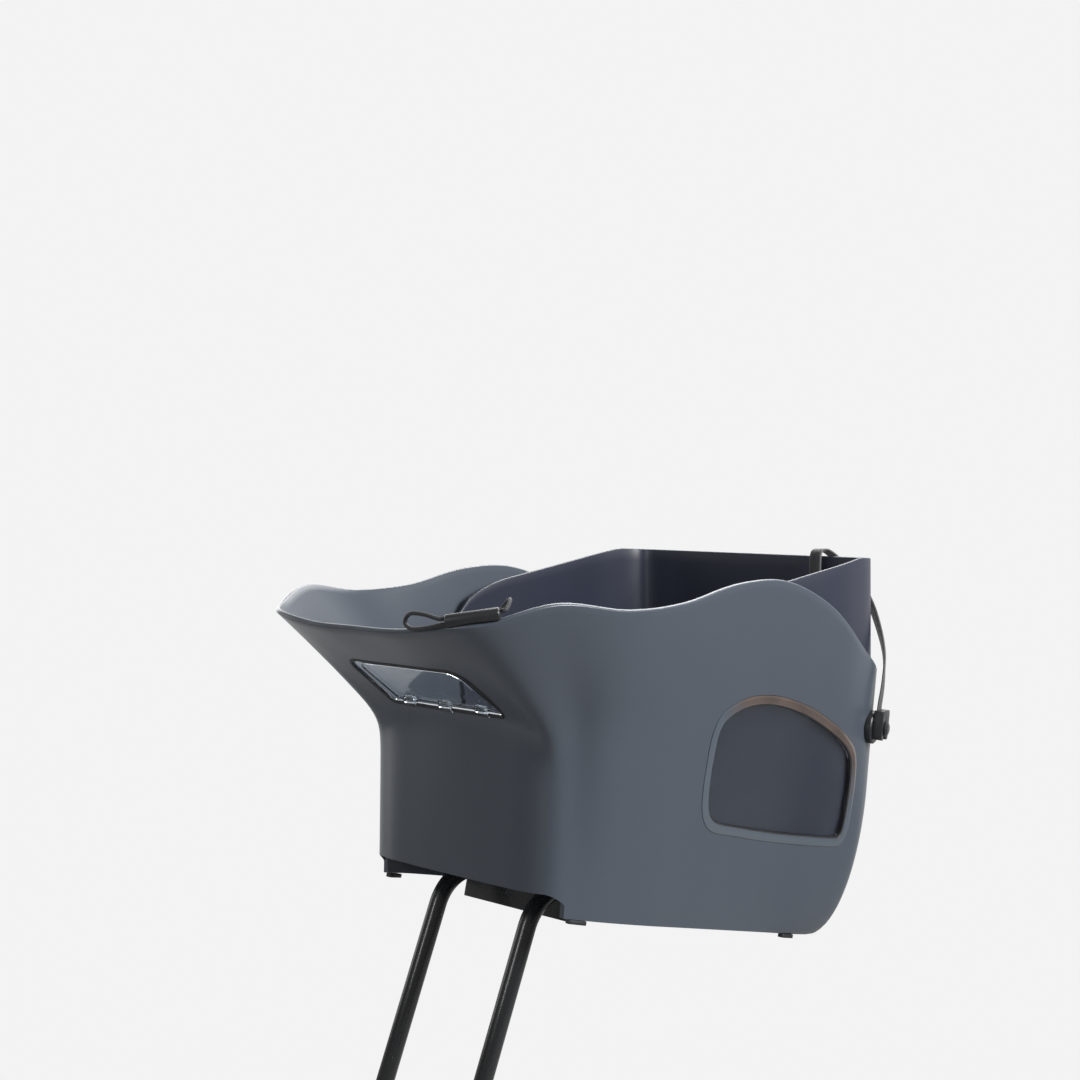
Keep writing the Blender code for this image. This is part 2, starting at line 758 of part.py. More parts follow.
# Floor mat
mat_loops = []
for height in (floor_height + floor_thickness + seat_gap, floor_height + floor_thickness + seat_gap + mat_thickness):
    mat_loops.append([level_point(station, height, wall + mat_inset) for station in stations])
floor_mat = loft("floor_mat", mat_loops, mat_foam)

# Support tube: two legs and two rails in one bent tube, with a plug in each lower end
right_leg = [Vector((-point.x, point.y, point.z)) for point in left_leg]
tube_route = left_leg + right_leg[-2::-1]
tube_rings = []
across = across_axis
for index, point in enumerate(tube_route):
    tangent = tube_route[min(index + 1, len(tube_route) - 1)] - tube_route[max(index - 1, 0)]
    tangent.normalize()
    across = (across - across.dot(tangent) * tangent).normalized()
    frames = []
    for radius in (tube_radius, tube_radius - tube_wall):
        frames.append(ring_points(point, across, tangent.cross(across), radius, 16))
    tube_rings.append(frames)
tube_outside = [[frames[0][side] for frames in tube_rings] for side in range(16)]
tube_inside = [[frames[1][side] for frames in tube_rings] for side in range(16)]
sheet("support_tube", tube_outside, tube_inside, True, black_steel)
plug_shaft = tube_radius - tube_wall - seat_gap
plug_profile = ((plug_shaft, -plug_length), (plug_shaft, seat_gap), (tube_radius, seat_gap))
plug_profile += ((tube_radius, seat_gap + plug_rim / 2), (tube_radius - plug_rim / 2, seat_gap + plug_rim))
turned("tube_plug_left", plug_profile, left_leg[0], leg_direction, black_plastic)
turned("tube_plug_right", plug_profile, right_leg[0], leg_direction, black_plastic)

# Cross plates under the rails, and the carriage bolts that clamp them through the floor
plate_top = rail_height - tube_radius - seat_gap
plate_low = plate_top - plate_thickness
plates = []
for name, start in (("front_cross_plate", front_plate_start), ("rear_cross_plate", rear_plate_start)):
    end = start + plate_depth
    profile = [(end, plate_low), (end, plate_top), (start, plate_top), (start, plate_low)]
    if name == "front_cross_plate":
        profile[3:] = [(start, plate_low - plate_flange), (start + plate_thickness, plate_low - plate_flange)]
        profile.append((start + plate_thickness, plate_low))
    corner = on_base(0, 0, 0)
    plate = prism(name, profile, slope_rearward, slope_up, corner, -plate_half_width, plate_half_width, black_steel)
    plates.append(plate)
floor_top = floor_height + floor_thickness
shaft_low = plate_low - 2 * seat_gap - washer_thickness - nut_height - bolt_tail
head_low = floor_top + seat_gap
for plate, end, start in zip(plates, ("front", "rear"), (front_plate_start, rear_plate_start)):
    for side, across in (("left", bolt_half_spacing), ("right", -bolt_half_spacing)):
        spot = on_base(across, start + plate_depth / 2 + plate_thickness / 2, 0)
        bolt_profile = ((bolt_radius * 0.7, shaft_low), (bolt_radius, shaft_low + bolt_radius * 0.3))
        bolt_profile += ((bolt_radius, head_low), (bolt_head_radius, head_low))
        bolt_profile += ((bolt_head_radius * 0.93, head_low + bolt_head_height * 0.5),)
        bolt_profile += ((bolt_head_radius * 0.55, head_low + bolt_head_height),)
        turned(f"floor_bolt_{end}_{side}", bolt_profile, spot, slope_up, bright_steel)
        washer_spot = spot + (plate_low - seat_gap - washer_thickness) * slope_up
        hole = bolt_radius + seat_gap
        collar(f"washer_{end}_{side}", washer_spot, slope_up, washer_radius, hole, washer_thickness, 20, bright_steel)
        nut_spot = washer_spot - (seat_gap + nut_height) * slope_up
        nut = f"nut_{end}_{side}"
        collar(nut, nut_spot, slope_up, nut_radius, hole, nut_height, 24, bright_steel, hexagonal=True)
        cut_profile = ((hole, shaft_low), (hole, floor_top + cut_overrun))
        cutter = turned(f"bolt_hole_{end}_{side}", cut_profile, spot, slope_up, None)
        combine(outer_shell, cutter, "DIFFERENCE")
        combine(plate, cutter, "DIFFERENCE")
        pocket_top = head_low + bolt_head_height + seat_gap
        pocket_profile = ((bolt_head_radius + seat_gap, shaft_low), (bolt_head_radius + seat_gap, pocket_top))
        pocket = turned(f"mat_pocket_{end}_{side}", pocket_profile, spot, slope_up, None)
        combine(floor_mat, pocket, "DIFFERENCE")

# Feet under the lower edge
for name, station in (("front_left", 4.05), ("rear_left", 9.7), ("rear_right", 18.3), ("front_right", 23.95)):
    spot = bare_skin(station, 0)
    tangent = (bare_skin(station + 0.1, 0) - bare_skin(station - 0.1, 0)).normalized()
    inward = slope_up.cross(tangent)
    foot_outline = rounded_box(foot_length, foot_width, foot_width / 3, foot_width / 3, 3)
    spot = spot + foot_inset * inward
    prism("foot_" + name, foot_outline, tangent, inward, spot, -seat_gap - foot_height, -seat_gap, black_rubber)

# Anchor buttons on the rear corners, with a screw each through the panel and the tub
anchor_face = seat_gap + anchor_thickness
post_end = anchor_face + post_length
panel_inside = panel_depth + panel_thickness
for side, station in (("left", anchor_station), ("right", 2 * rear_station - anchor_station)):
    spot = bare_skin(station, anchor_row_share)
    out = skin_normal(station, anchor_row_share)
    profile = ((anchor_radius, -wall), (anchor_radius, anchor_face - plug_rim), (anchor_radius - plug_rim, anchor_face))
    profile += ((post_radius, anchor_face), (post_radius, post_end), (post_head_radius, post_end))
    profile += ((post_head_radius, post_end + post_head_height / 2), (post_radius, post_end + post_head_height))
    anchor = turned("rear_anchor_" + side, profile, spot, out, black_plastic, 28)
    nearest = round(station * steps_per_station) / steps_per_station
    skin_patch = (nearest - 1, nearest + 1, 0.46, 1.0)
    skin_block = slab(side + "_anchor_seat", *skin_patch, -seat_gap, panel_inside, None)
    combine(anchor, skin_block, "DIFFERENCE")
    hole_profile = ((screw_radius + seat_gap, -panel_inside - cut_overrun), (screw_radius + seat_gap, screw_reach))
    hole = turned(side + "_screw_hole", hole_profile, spot, out, None)
    for piece in (anchor, outer_shell, back_panel):
        combine(piece, hole, "DIFFERENCE")
    head = -panel_inside - screw_stand
    screw_profile = ((screw_head_radius * 0.7, head - screw_head_height), (screw_head_radius, head - seat_gap))
    screw_profile += ((screw_head_radius, head), (screw_radius, head), (screw_radius, screw_reach - seat_gap))
    turned("anchor_screw_" + side, screw_profile, spot, out, bright_steel)

# Clip that hooks over the left button, and the strap that it carries over the back panel
out = skin_normal(anchor_station, anchor_row_share)
clip_up = (up_axis - up_axis.dot(out) * out).normalized()
clip_across = clip_up.cross(out)
clip_middle = bare_skin(anchor_station, anchor_row_share) + (anchor_face + post_length / 2) * out + clip_seat * clip_up
clip_outline = rounded_box(clip_width, clip_height, clip_radius, clip_radius)
clip = prism("rear_tether_clip", clip_outline, clip_across, clip_up, clip_middle, -clip_thickness / 2,
             clip_thickness / 2, black_plastic)
slot_radius = post_radius + seat_gap
clip_slot = [(-slot_radius, -clip_height), (slot_radius, -clip_height)]
for step in range(9):
    angle = math.pi * step / 8
    clip_slot.append((slot_radius * math.cos(angle), slot_radius * math.sin(angle) - clip_seat))
slot_cutter = prism("clip_slot", clip_slot, clip_across, clip_up, clip_middle, -clip_thickness, clip_thickness)
combine(clip, slot_cutter, "DIFFERENCE")

hang_x, hang_y, hang_z = rear_strap_rows[-1][:3]
rear_bar = Vector((hang_x * MM, hang_y * MM, rear_hang_height))


def eye_loop(bar, across, behind, thickness, start_height):
    """Middle line and facings of a strap that comes down, turns round a bar and is sewn to itself."""
    turn_radius = eye_wire / 2 + seat_gap + thickness / 2
    apart = (thickness + seat_gap) / 2
    sewn_foot = 3 * turn_radius
    path = [(apart, start_height), (apart, sewn_foot + sewn_length / 2), (apart, sewn_foot)]
    path += [(turn_radius * 0.85, turn_radius)]
    facings = [(1, 0), (1, 0), (1, 0.1), (1, 0.2)]
    for step in range(9):
        angle = math.pi * step / 8
        path.append((turn_radius * math.cos(angle), -turn_radius * math.sin(angle)))
        facings.append((math.cos(angle), -math.sin(angle)))
    path += [(-turn_radius * 0.85, turn_radius), (-apart, sewn_foot), (-apart, sewn_foot + sewn_length)]
    facings += [(-1, 0.2), (-1, 0.1), (-1, 0)]
    points = [bar + a * behind + b * up_axis for a, b in path]
    return points, [a * behind + b * up_axis for a, b in facings]


strap_route = [Vector(row[:3]) * MM for row in rear_strap_rows]
strap_route = smooth_route(strap_route, 3)
strap_facings = smooth_route([row[3:] for row in rear_strap_rows], 3)
loop_route, loop_facings = eye_loop(rear_bar, across_axis, -rear_axis, strap_thickness, hang_z * MM - rear_hang_height)
loop_route = [point - (strap_thickness + seat_gap) / 2 * -rear_axis for point in loop_route]
rear_bar = rear_bar + (strap_thickness + seat_gap) / 2 * rear_axis
rear_route = strap_route[:-1] + loop_route
rear_strap = ribbon("rear_tether_strap", rear_route, strap_facings[:-1] + loop_facings, strap_width, strap_thickness,
                    black_webbing)
pocket_outline = rounded_box(strap_width + 4 * seat_gap, strap_thickness + 4 * seat_gap, seat_gap, seat_gap, 1)
pocket_spot = strap_route[0] - seat_gap * up_axis
strap_pocket = prism("strap_pocket", pocket_outline, clip_across, out, pocket_spot, -clip_height, 0)
combine(clip, strap_pocket, "DIFFERENCE")

# Slide on the hanging part of the rear strap
adjuster_middle = rear_bar + Vector((0, -(strap_thickness + seat_gap) / 2, adjuster_low_gap + adjuster_height / 2))
adjuster_outline = rounded_box(adjuster_width, adjuster_thickness, adjuster_radius / 2, adjuster_radius / 2, 3)
half_slide = adjuster_height / 2
adjuster = prism("rear_tether_adjuster", adjuster_outline, across_axis, rear_axis, Vector(), -half_slide, half_slide,
                 black_plastic)
adjuster.location = place + adjuster_middle
slide_outline = rounded_box(strap_width + 2 * seat_gap, strap_thickness + 2 * seat_gap, seat_gap, seat_gap, 1)
slide_slot = prism("slide_slot", slide_outline, across_axis, rear_axis, adjuster_middle, -adjuster_height,
                   adjuster_height)
combine(adjuster, slide_slot, "DIFFERENCE")


def snap_hook(name, bar, yaw):
    """Swivel eye, hook body, wire gate and gate pin, hanging from the bar of the eye."""
    turn = Matrix.Rotation(yaw, 3, "Z")
    down = -up_axis
    eye_route = [Vector((x * MM, 0, z * MM)) for x, z in smooth_loop(eye_rows, 3)]
    eye = rod(name + "_hook_eye", eye_route, eye_wire / 2, 10, black_steel, True, bar, turn)
    stud_profile = ((stud_radius, eye_bottom), (stud_radius, stud_end - stud_head_height))
    stud_profile += ((stud_head_radius, stud_end - stud_head_height), (stud_head_radius, stud_end))
    stud = turned(name + "_stud", stud_profile, Vector(), down, None, 20, bar, turn)
    combine(eye, stud, "UNION")

    profile = ((barrel_radius - barrel_round, barrel_top), (barrel_radius, barrel_top + barrel_round))
    profile += ((barrel_radius, barrel_bottom),)
    body = turned(name + "_hook_body", profile, Vector(), down, black_steel, 24, bar, turn)
    bore = stud_radius + running_gap
    groove = stud_head_radius + seat_gap
    groove_top = stud_end - stud_head_height - seat_gap
    bore_profile = ((bore, eye_bottom), (bore, groove_top), (groove, groove_top), (groove, stud_end + seat_gap))
    stud_bore = turned(name + "_stud_bore", bore_profile, Vector(), down, None, 20, bar, turn)
    half = hook_half_width
    depth = block_half_depth
    block_outline = rounded_box(2 * half, 2 * depth, depth / 3, depth / 3, 2)
    block_loops = []
    for level in (block_top, block_bottom):
        block_loops.append([Vector((x, y, -level)) for x, y in block_outline])
    block = loft(name + "_block", block_loops, None, bar, turn)
    combine(body, block, "UNION")
    wire = hook_wire / 2
    middle = half - wire
    arc_down = hook_bottom - wire - middle
    wire_route = [Vector((middle, 0, -(block_top + block_bottom) / 2)), Vector((middle, 0, -block_bottom - wire))]
    for step in range(13):
        angle = math.pi * step / 12
        wire_route.append(Vector((middle * math.cos(angle), 0, -arc_down - middle * math.sin(angle))))
    wire_route.append(Vector((-middle, 0, -arc_down + nose_rise)))
    hook_rod = rod(name + "_wire", wire_route, wire, 12, None, False, bar, turn)
    combine(body, hook_rod, "UNION")
    for side in (-1, 1):
        inside = side * cheek_inside
        outside = side * depth
        cheek_loops = []
        for level in (block_bottom - wire / 2, cheek_bottom):
            corners = ((-half, inside), (-half + cheek_width, inside), (-half + cheek_width, outside), (-half, outside))
            cheek_loops.append([Vector((x, y, -level)) for x, y in corners])
        cheek = loft(f"{name}_cheek_{side}", cheek_loops, None, bar, turn)
        combine(body, cheek, "UNION")
    combine(body, stud_bore, "DIFFERENCE")
    pivot = Vector((-pin_across, 0, -pin_down))
    half_pin = pin_length / 2
    hole_profile = ((pin_radius + running_gap, -pin_length), (pin_radius + running_gap, pin_length))
    pin_hole = turned(name + "_pin_hole", hole_profile, pivot, rear_axis, None, 16, bar, turn)
    combine(body, pin_hole, "DIFFERENCE")
    pin_profile = ((pin_radius * 0.7, -half_pin), (pin_radius, -half_pin + pin_radius * 0.3))
    pin_profile += ((pin_radius, half_pin - pin_radius * 0.3), (pin_radius * 0.7, half_pin))
    turned(name + "_gate_pin", pin_profile, pivot, rear_axis, bright_steel, 16, bar, turn)

    gate_spot = bar + turn @ pivot
    gate_end = Vector((pin_across - gate_end_across, 0, pin_down - gate_end_down))
    gate_start = gate_end.normalized() * (gate_eye_radius - gate_wire / 3)
    gate = rod(name + "_hook_gate", [gate_start, gate_end], gate_wire / 2, 10, bright_steel, False, gate_spot, turn)
    ring_start = Vector((0, -gate_eye_width / 2, 0))
    hole = pin_radius + running_gap
    ring = collar(name + "_gate_ring", ring_start, rear_axis, gate_eye_radius, hole, gate_eye_width, 20, None, gate_spot,
                  turn)
    combine(gate, ring, "UNION")


snap_hook("rear", rear_bar, rear_hook_yaw)

# Front webbing, fixed to the slope behind the front lip
strap_depth = wall + front_strap_stand + front_strap_thickness / 2
front_points = [skin(front_strap_station, row, strap_depth) for row in front_strap_rows]
front_facings = [-skin_normal(front_strap_station, row) for row in front_strap_rows]
knee_point = front_points[-1]
hang_reach = skin(front_strap_station, front_hang_row, wall).y + front_hang_gap - knee_point.y
for behind_share, below_share in front_strap_drop_shares:
    front_points.append(knee_point + Vector((0, behind_share * hang_reach, -below_share * front_strap_fall)))
front_facings += [Vector((0, 0.6, 0.8)), Vector((0, 0.75, 0.65)), Vector((0, 1, 0.25)), rear_axis]
front_bar = Vector((knee_point.x, front_points[-1].y, front_hang_height))
front_route = smooth_route(front_points, 3)
front_turns = smooth_route(front_facings, 3)
start_height = front_route[-1].z - front_hang_height
loop_route, loop_facings = eye_loop(front_bar, across_axis, rear_axis, front_strap_thickness, start_height)
half_apart = (front_strap_thickness + seat_gap) / 2 * rear_axis
front_bar = front_bar - half_apart
front_route = front_route[:-1] + [point - half_apart for point in loop_route]
front_turns = front_turns[:-1] + loop_facings
front_strap = ribbon("front_tether_strap", front_route, front_turns, front_strap_width, front_strap_thickness,
                     black_webbing)
snap_hook("front", front_bar, 0)

# Fixing plate over the upper end of the front webbing, with its screw in the wall
spot = bare_skin(front_strap_station, fixing_row)
inward = -skin_normal(front_strap_station, fixing_row)
fixing_up = bare_skin(front_strap_station, fixing_row + 0.05) - bare_skin(front_strap_station, fixing_row - 0.05)
fixing_up = (fixing_up - fixing_up.dot(inward) * inward).normalized()
fixing_across = fixing_up.cross(inward)
fixing_low = strap_depth + front_strap_thickness / 2 + seat_gap
fixing_high = fixing_low + fixing_thickness
fixing_outline = [(x + fixing_shift, y) for x, y in
                  rounded_box(fixing_length, fixing_height, fixing_radius, fixing_radius, 4)]
fixing = prism("front_tether_plate", fixing_outline, fixing_across, fixing_up, spot, fixing_low, fixing_high,
               black_steel)
hole_profile = ((screw_radius + seat_gap, wall - fixing_screw_bite - seat_gap),
                (screw_radius + seat_gap, fixing_high + cut_overrun))
fixing_hole = turned("fixing_hole", hole_profile, spot, inward, None)
for piece in (fixing, front_strap, outer_shell):
    combine(piece, fixing_hole, "DIFFERENCE")
screw_profile = ((screw_radius, wall - fixing_screw_bite), (screw_radius, fixing_high + seat_gap),
                 (screw_head_radius, fixing_high + seat_gap),
                 (screw_head_radius, fixing_high + seat_gap + screw_head_height / 2),
                 (screw_head_radius * 0.7, fixing_high + seat_gap + screw_head_height))
turned("front_tether_screw", screw_profile, spot, inward, bright_steel)
cord_spot = spot + cord_hole_shift * fixing_across
hole_profile = ((cord_diameter / 2 + seat_gap, 0), (cord_diameter / 2 + seat_gap, fixing_high + cut_overrun))
cord_hole = turned("cord_hole", hole_profile, cord_spot, inward, None)
combine(fixing, cord_hole, "DIFFERENCE")

# Sleeve on the front rim, and the elastic cord that runs through it into the pull loop
sleeve_middle = skin(sleeve_station, 1, sleeve_depth) + sleeve_lift * up_axis
sleeve_along = (bare_skin(sleeve_station + 0.4, 1) - bare_skin(sleeve_station - 0.4, 1)).normalized()
sleeve_up = (up_axis - up_axis.dot(sleeve_along) * sleeve_along).normalized()
half_sleeve = sleeve_length / 2
sleeve_profile = ((sleeve_radius - plug_rim, -half_sleeve), (sleeve_radius, -half_sleeve + plug_rim),
                  (sleeve_radius, half_sleeve - plug_rim), (sleeve_radius - plug_rim, half_sleeve))
sleeve = turned("front_tether_sleeve", sleeve_profile, sleeve_middle, sleeve_along, black_plastic)
bore = cord_diameter / 2 + seat_gap
through_profile = ((bore, -sleeve_length), (bore, sleeve_length))
through = turned("through_bore", through_profile, sleeve_middle + bore_offset * sleeve_up, sleeve_along, None, 16)
blind_profile = ((bore, -sleeve_length), (bore, 0))
blind = turned("blind_bore", blind_profile, sleeve_middle - bore_offset * sleeve_up, sleeve_along, None, 16)
combine(sleeve, through, "DIFFERENCE")
combine(sleeve, blind, "DIFFERENCE")

cord_rise = (fixing_low + fixing_high) / 2
cord_route = [cord_spot + cord_rise * inward, cord_spot + (fixing_high + cord_diameter / 2) * inward]
cord_route.append(cord_spot + (fixing_high + 1.5 * cord_diameter) * inward)
for share, lift in cord_rise_shares:
    station = front_strap_station + cord_station_gap * share
    row = fixing_row + (1 - fixing_row) * share
    cord_route.append(skin(station, row, fixing_high + cord_diameter) + lift * sleeve_lift * up_axis)
through_end = sleeve_middle + bore_offset * sleeve_up + half_sleeve * sleeve_along
cord_route += [through_end + sleeve_radius * sleeve_along, through_end]
cord_route = smooth_route(cord_route, 4)
sleeve_left = sleeve_middle - half_sleeve * sleeve_along
sleeve_inward = sleeve_up.cross(sleeve_along)
loop_points = [sleeve_left + MM * (a * sleeve_along + b * sleeve_up + c * sleeve_inward) for a, b, c in loop_rows]
cord_route += smooth_route(loop_points, 4)
cord_route += [sleeve_middle - bore_offset * sleeve_up - sleeve_radius * sleeve_along]
cord("front_tether_loop", cord_route, cord_diameter, black_webbing)
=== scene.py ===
import math

import bmesh
import bpy
from mathutils import Matrix, Vector


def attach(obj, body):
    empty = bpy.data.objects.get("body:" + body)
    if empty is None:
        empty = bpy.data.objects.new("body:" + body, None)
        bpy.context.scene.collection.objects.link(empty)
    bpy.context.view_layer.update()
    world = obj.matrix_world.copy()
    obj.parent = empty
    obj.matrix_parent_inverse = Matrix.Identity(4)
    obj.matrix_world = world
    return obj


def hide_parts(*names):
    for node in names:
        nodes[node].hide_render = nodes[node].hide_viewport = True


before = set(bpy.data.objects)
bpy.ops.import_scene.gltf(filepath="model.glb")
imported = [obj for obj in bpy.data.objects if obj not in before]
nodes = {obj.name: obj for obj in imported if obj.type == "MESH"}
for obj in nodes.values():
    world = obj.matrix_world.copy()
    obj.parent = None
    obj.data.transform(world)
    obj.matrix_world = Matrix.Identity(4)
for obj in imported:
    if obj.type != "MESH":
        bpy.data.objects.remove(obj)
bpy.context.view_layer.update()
scene = bpy.context.scene

# Camera at the photographer's place: level with the rim, in front of the basket and to the rider's left.
# The shell's own sizes below are taken from a point level with its front lower edge; shell_place is where
# that point stands over the lower ends of the support tube.
shell_place = Vector((0, 0.1441851, 0.1903110))
camera_place = shell_place + Vector((0.93206, -0.96967, 0.26657))
camera_turn = math.radians(44.89)
camera_pitch = math.radians(-0.11)
camera_roll = math.radians(2.19)
photo_pixels = 1080
focal_pixels = 1670.46
level_right = Vector((math.cos(camera_turn), math.sin(camera_turn), 0))
ahead = Vector((-math.sin(camera_turn), math.cos(camera_turn), 0)) * math.cos(camera_pitch)
ahead.z = -math.sin(camera_pitch)
upward = level_right.cross(ahead)
image_right = level_right * math.cos(camera_roll) + upward * math.sin(camera_roll)
image_up = upward * math.cos(camera_roll) - level_right * math.sin(camera_roll)
camera_axes = Matrix((image_right, image_up, -ahead)).transposed().to_4x4()
camera_data = bpy.data.cameras.new("photo_camera")
camera_data.sensor_width = 36
camera_data.lens = camera_data.sensor_width * focal_pixels / photo_pixels
camera_data.clip_end = 50
camera = bpy.data.objects.new("photo_camera", camera_data)
scene.collection.objects.link(camera)
camera.matrix_world = Matrix.Translation(camera_place) @ camera_axes
scene.camera = camera
scene.view_settings.view_transform = "Standard"


def linear(colour):
    """Linear red, green and blue of an sRGB hex colour, with full opacity."""
    channels = [int(colour[index:index + 2], 16) / 255 for index in (0, 2, 4)]
    return (*[((c + 0.055) / 1.055) ** 2.4 if c > 0.04045 else c / 12.92 for c in channels], 1)


def adjust(made, settings):
    """Sets a node's properties and sockets. A node or an output given for a socket is linked to it."""
    for key, value in settings.items():
        if isinstance(value, bpy.types.Node):
            value = value.outputs[0]
        if isinstance(value, bpy.types.NodeSocket):
            made.id_data.links.new(value, made.inputs[key])
        elif isinstance(key, int) or key in made.inputs:
            made.inputs[key].default_value = value
        else:
            setattr(made, key, value)


def node(tree, kind, settings=None):
    """Adds a node with its properties and sockets."""
    made = tree.nodes.new(kind)
    adjust(made, settings or {})
    return made


def calc(tree, operation, *values):
    """Adds a Math node that works on numbers, nodes or outputs."""
    return node(tree, "ShaderNodeMath", {"operation": operation, **dict(enumerate(values))})


# Studio: a pale sweep under and behind the basket, lit by soft lamps from both sides, the front and above.
# The basket hangs clear of the floor, as it does on the bicycle.
floor_drop = 0.32
half_breadth = 6
# Profile of the sweep, from in front of the basket to behind it and up, in metres
sweep = [(-3.2, 0), (1.6, 0), (2.1, 0.12), (2.4, 0.45), (2.5, 0.95), (2.5, 4)]
sweep_points = [(side * half_breadth, y, z - floor_drop) for y, z in sweep for side in (-1, 1)]
floor_mesh = bpy.data.meshes.new("studio_floor")
floor_mesh.from_pydata(sweep_points, [], [[2 * i, 2 * i + 1, 2 * i + 3, 2 * i + 2] for i in range(len(sweep) - 1)])
floor_mesh.shade_smooth()
studio_floor = bpy.data.objects.new("studio_floor", floor_mesh)
studio_floor.rotation_euler = (0, 0, camera_turn)
scene.collection.objects.link(studio_floor)

# Paper: matt grey for the light that falls on it. The camera sees it pale, and so do the lenses and, in its
# far part, the object's own reflections.
paper = bpy.data.materials.new("studio_paper")
paper.use_nodes = True
tree = paper.node_tree
tree.nodes.clear()
matt = node(tree, "ShaderNodeBsdfDiffuse", {"Color": linear("909090")})
glow = node(tree, "ShaderNodeEmission", {"Color": linear("F3F3F3"), "Strength": 1.0})
rays = node(tree, "ShaderNodeLightPath").outputs
either = calc(tree, "MAXIMUM", rays["Is Camera Ray"], rays["Is Transmission Ray"])
place = node(tree, "ShaderNodeTexCoord").outputs["Object"]
backward = node(tree, "ShaderNodeSeparateXYZ", {0: place}).outputs["Y"]
far_off = node(tree, "ShaderNodeMapRange", {0: backward, 1: 1.1, 2: 1.9, 4: 0.9})
mirrored = calc(tree, "MULTIPLY", far_off, rays["Is Glossy Ray"])
direct = calc(tree, "LESS_THAN", rays["Diffuse Depth"], 0.5)
shown = calc(tree, "MULTIPLY", calc(tree, "MAXIMUM", either, mirrored), direct)
mixed = node(tree, "ShaderNodeMixShader", {0: shown, 1: matt, 2: glow})
node(tree, "ShaderNodeOutputMaterial", {"Surface": mixed})
floor_mesh.materials.append(paper)

# Air of the studio: faint light from all round, at full strength only where the camera sees it
world = bpy.data.worlds.new("studio_air")
scene.world = world
world.use_nodes = True
tree = world.node_tree
rays = node(tree, "ShaderNodeLightPath").outputs
strength = node(tree, "ShaderNodeMapRange", {0: rays["Is Camera Ray"], 3: 0.32, 4: 1.0})
adjust(tree.nodes["Background"], {"Color": linear("F3F3F3"), "Strength": strength})


def lamp(name, spot, size, power):
    """Large soft rectangular lamp, turned to the middle of the basket."""
    basket_middle = Vector((0, 0.16, 0.32))
    data = bpy.data.lights.new(name, "AREA")
    data.shape = "RECTANGLE"
    data.size, data.size_y = size
    data.energy = power
    made = bpy.data.objects.new(name, data)
    made.location = Vector(spot)
    made.rotation_euler = (basket_middle - made.location).to_track_quat("-Z", "Y").to_euler()
    made.visible_camera = False
    scene.collection.objects.link(made)


lamp("left_softbox", (1.4, 0.35, 1.1), (0.6, 0.5), 40)
lamp("overhead", (-0.5, 1.3, 2.0), (1.6, 1.2), 54)
lamp("front_strip", (0.1, -2.3, 0.95), (0.3, 1.2), 13)
lamp("right_strip", (-2.1, -0.9, 0.5), (0.4, 1.6), 4)
lamp("right_fill", (-2.0, 0.9, 0.9), (1.2, 1.2), 14)

# Outer shell: one injection moulding in grey-blue polypropylene, 4 mm thick, with a satin grained face.
# Its wall is swept between the waved rim and the lower edge; the front lip turns outwards over the knee,
# and the rear corners belly out before they stand up.
MM = 0.001
rim_half_width = 156 * MM
rim_front_reach = 221 * MM
rim_rear_reach = 251 * MM
rim_height = 243 * MM
base_half_width = 111.5 * MM
base_front_reach = 116 * MM
base_rear_reach = 211 * MM
base_slope = math.radians(10)
wall = 4 * MM
seat_gap = 0.3 * MM
knee_softness_share = 0.03
belly_share = 0.565
# From the middle of the front to the middle of the rear: rim across, rim along, rim height, base across,
# base along, how much the lip flares, how much the rear bellies and the height at which the lip turns outwards
outline_shares = (
    (0.000, -0.992, 0.821, 0.000, -1.000, 0.980, 0.000, 0.697),
    (0.301, -0.993, 0.823, 0.383, -0.998, 0.987, 0.000, 0.692),
    (0.580, -0.975, 0.843, 0.689, -0.984, 0.982, 0.000, 0.641),
    (0.753, -0.897, 0.863, 0.863, -0.907, 0.930, 0.000, 0.587),
    (0.914, -0.704, 0.922, 0.931, -0.741, 0.781, 0.000, 0.615),
    (0.988, -0.437, 0.907, 0.977, -0.506, 0.413, 0.000, 0.655),
    (0.990, -0.160, 0.930, 0.996, -0.130, 0.120, 0.000, 0.685),
    (0.997, 0.115, 0.992, 0.978, 0.190, 0.000, 0.000, 0.700),
    (0.997, 0.350, 0.998, 0.960, 0.440, 0.000, 0.000, 0.700),
    (0.979, 0.605, 0.915, 0.947, 0.666, 0.000, 0.061, 0.700),
    (0.936, 0.815, 0.782, 0.939, 0.856, 0.000, 0.416, 0.700),
    (0.851, 0.975, 0.690, 0.870, 0.992, 0.000, 0.797, 0.700),
    (0.618, 1.005, 0.650, 0.639, 1.012, 0.000, 0.946, 0.700),
    (0.300, 1.005, 0.634, 0.312, 1.013, 0.000, 0.990, 0.700),
    (0.000, 1.005, 0.630, 0.000, 1.013, 0.000, 1.000, 0.700),
)
rear_station = len(outline_shares) - 1


def spline(rows, position):
    """Catmull-Rom through four rows of numbers, from the second row at 0 to the third at 1."""
    values = []
    for a, b, c, d in zip(*rows):
        bend = 2 * a - 5 * b + 4 * c - d
        twist = 3 * b - a - 3 * c + d
        values.append(b + 0.5 * position * (c - a + position * (bend + position * twist)))
    return values


def outline_row(index):
    """A row of the outline table, counted on round the other side of the tub in mirror image."""
    index %= 2 * rear_station
    if index <= rear_station:
        return outline_shares[index]
    rim_x, rim_y, rim_z, base_x, *others = outline_shares[2 * rear_station - index]
    return (-rim_x, rim_y, rim_z, -base_x, *others)


def knee(row, turn):
    """How far the lip has turned outwards, from 0 at the lower edge to 1 at the rim."""
    def soft(share):
        return math.log(1 + math.exp((share - turn) / knee_softness_share))
    return (soft(row) - soft(0)) / (soft(1) - soft(0))


def base_plane(y):
    """Height of the plane of the lower edge, which falls towards the rear."""
    return -math.tan(base_slope) * (y + base_front_reach)


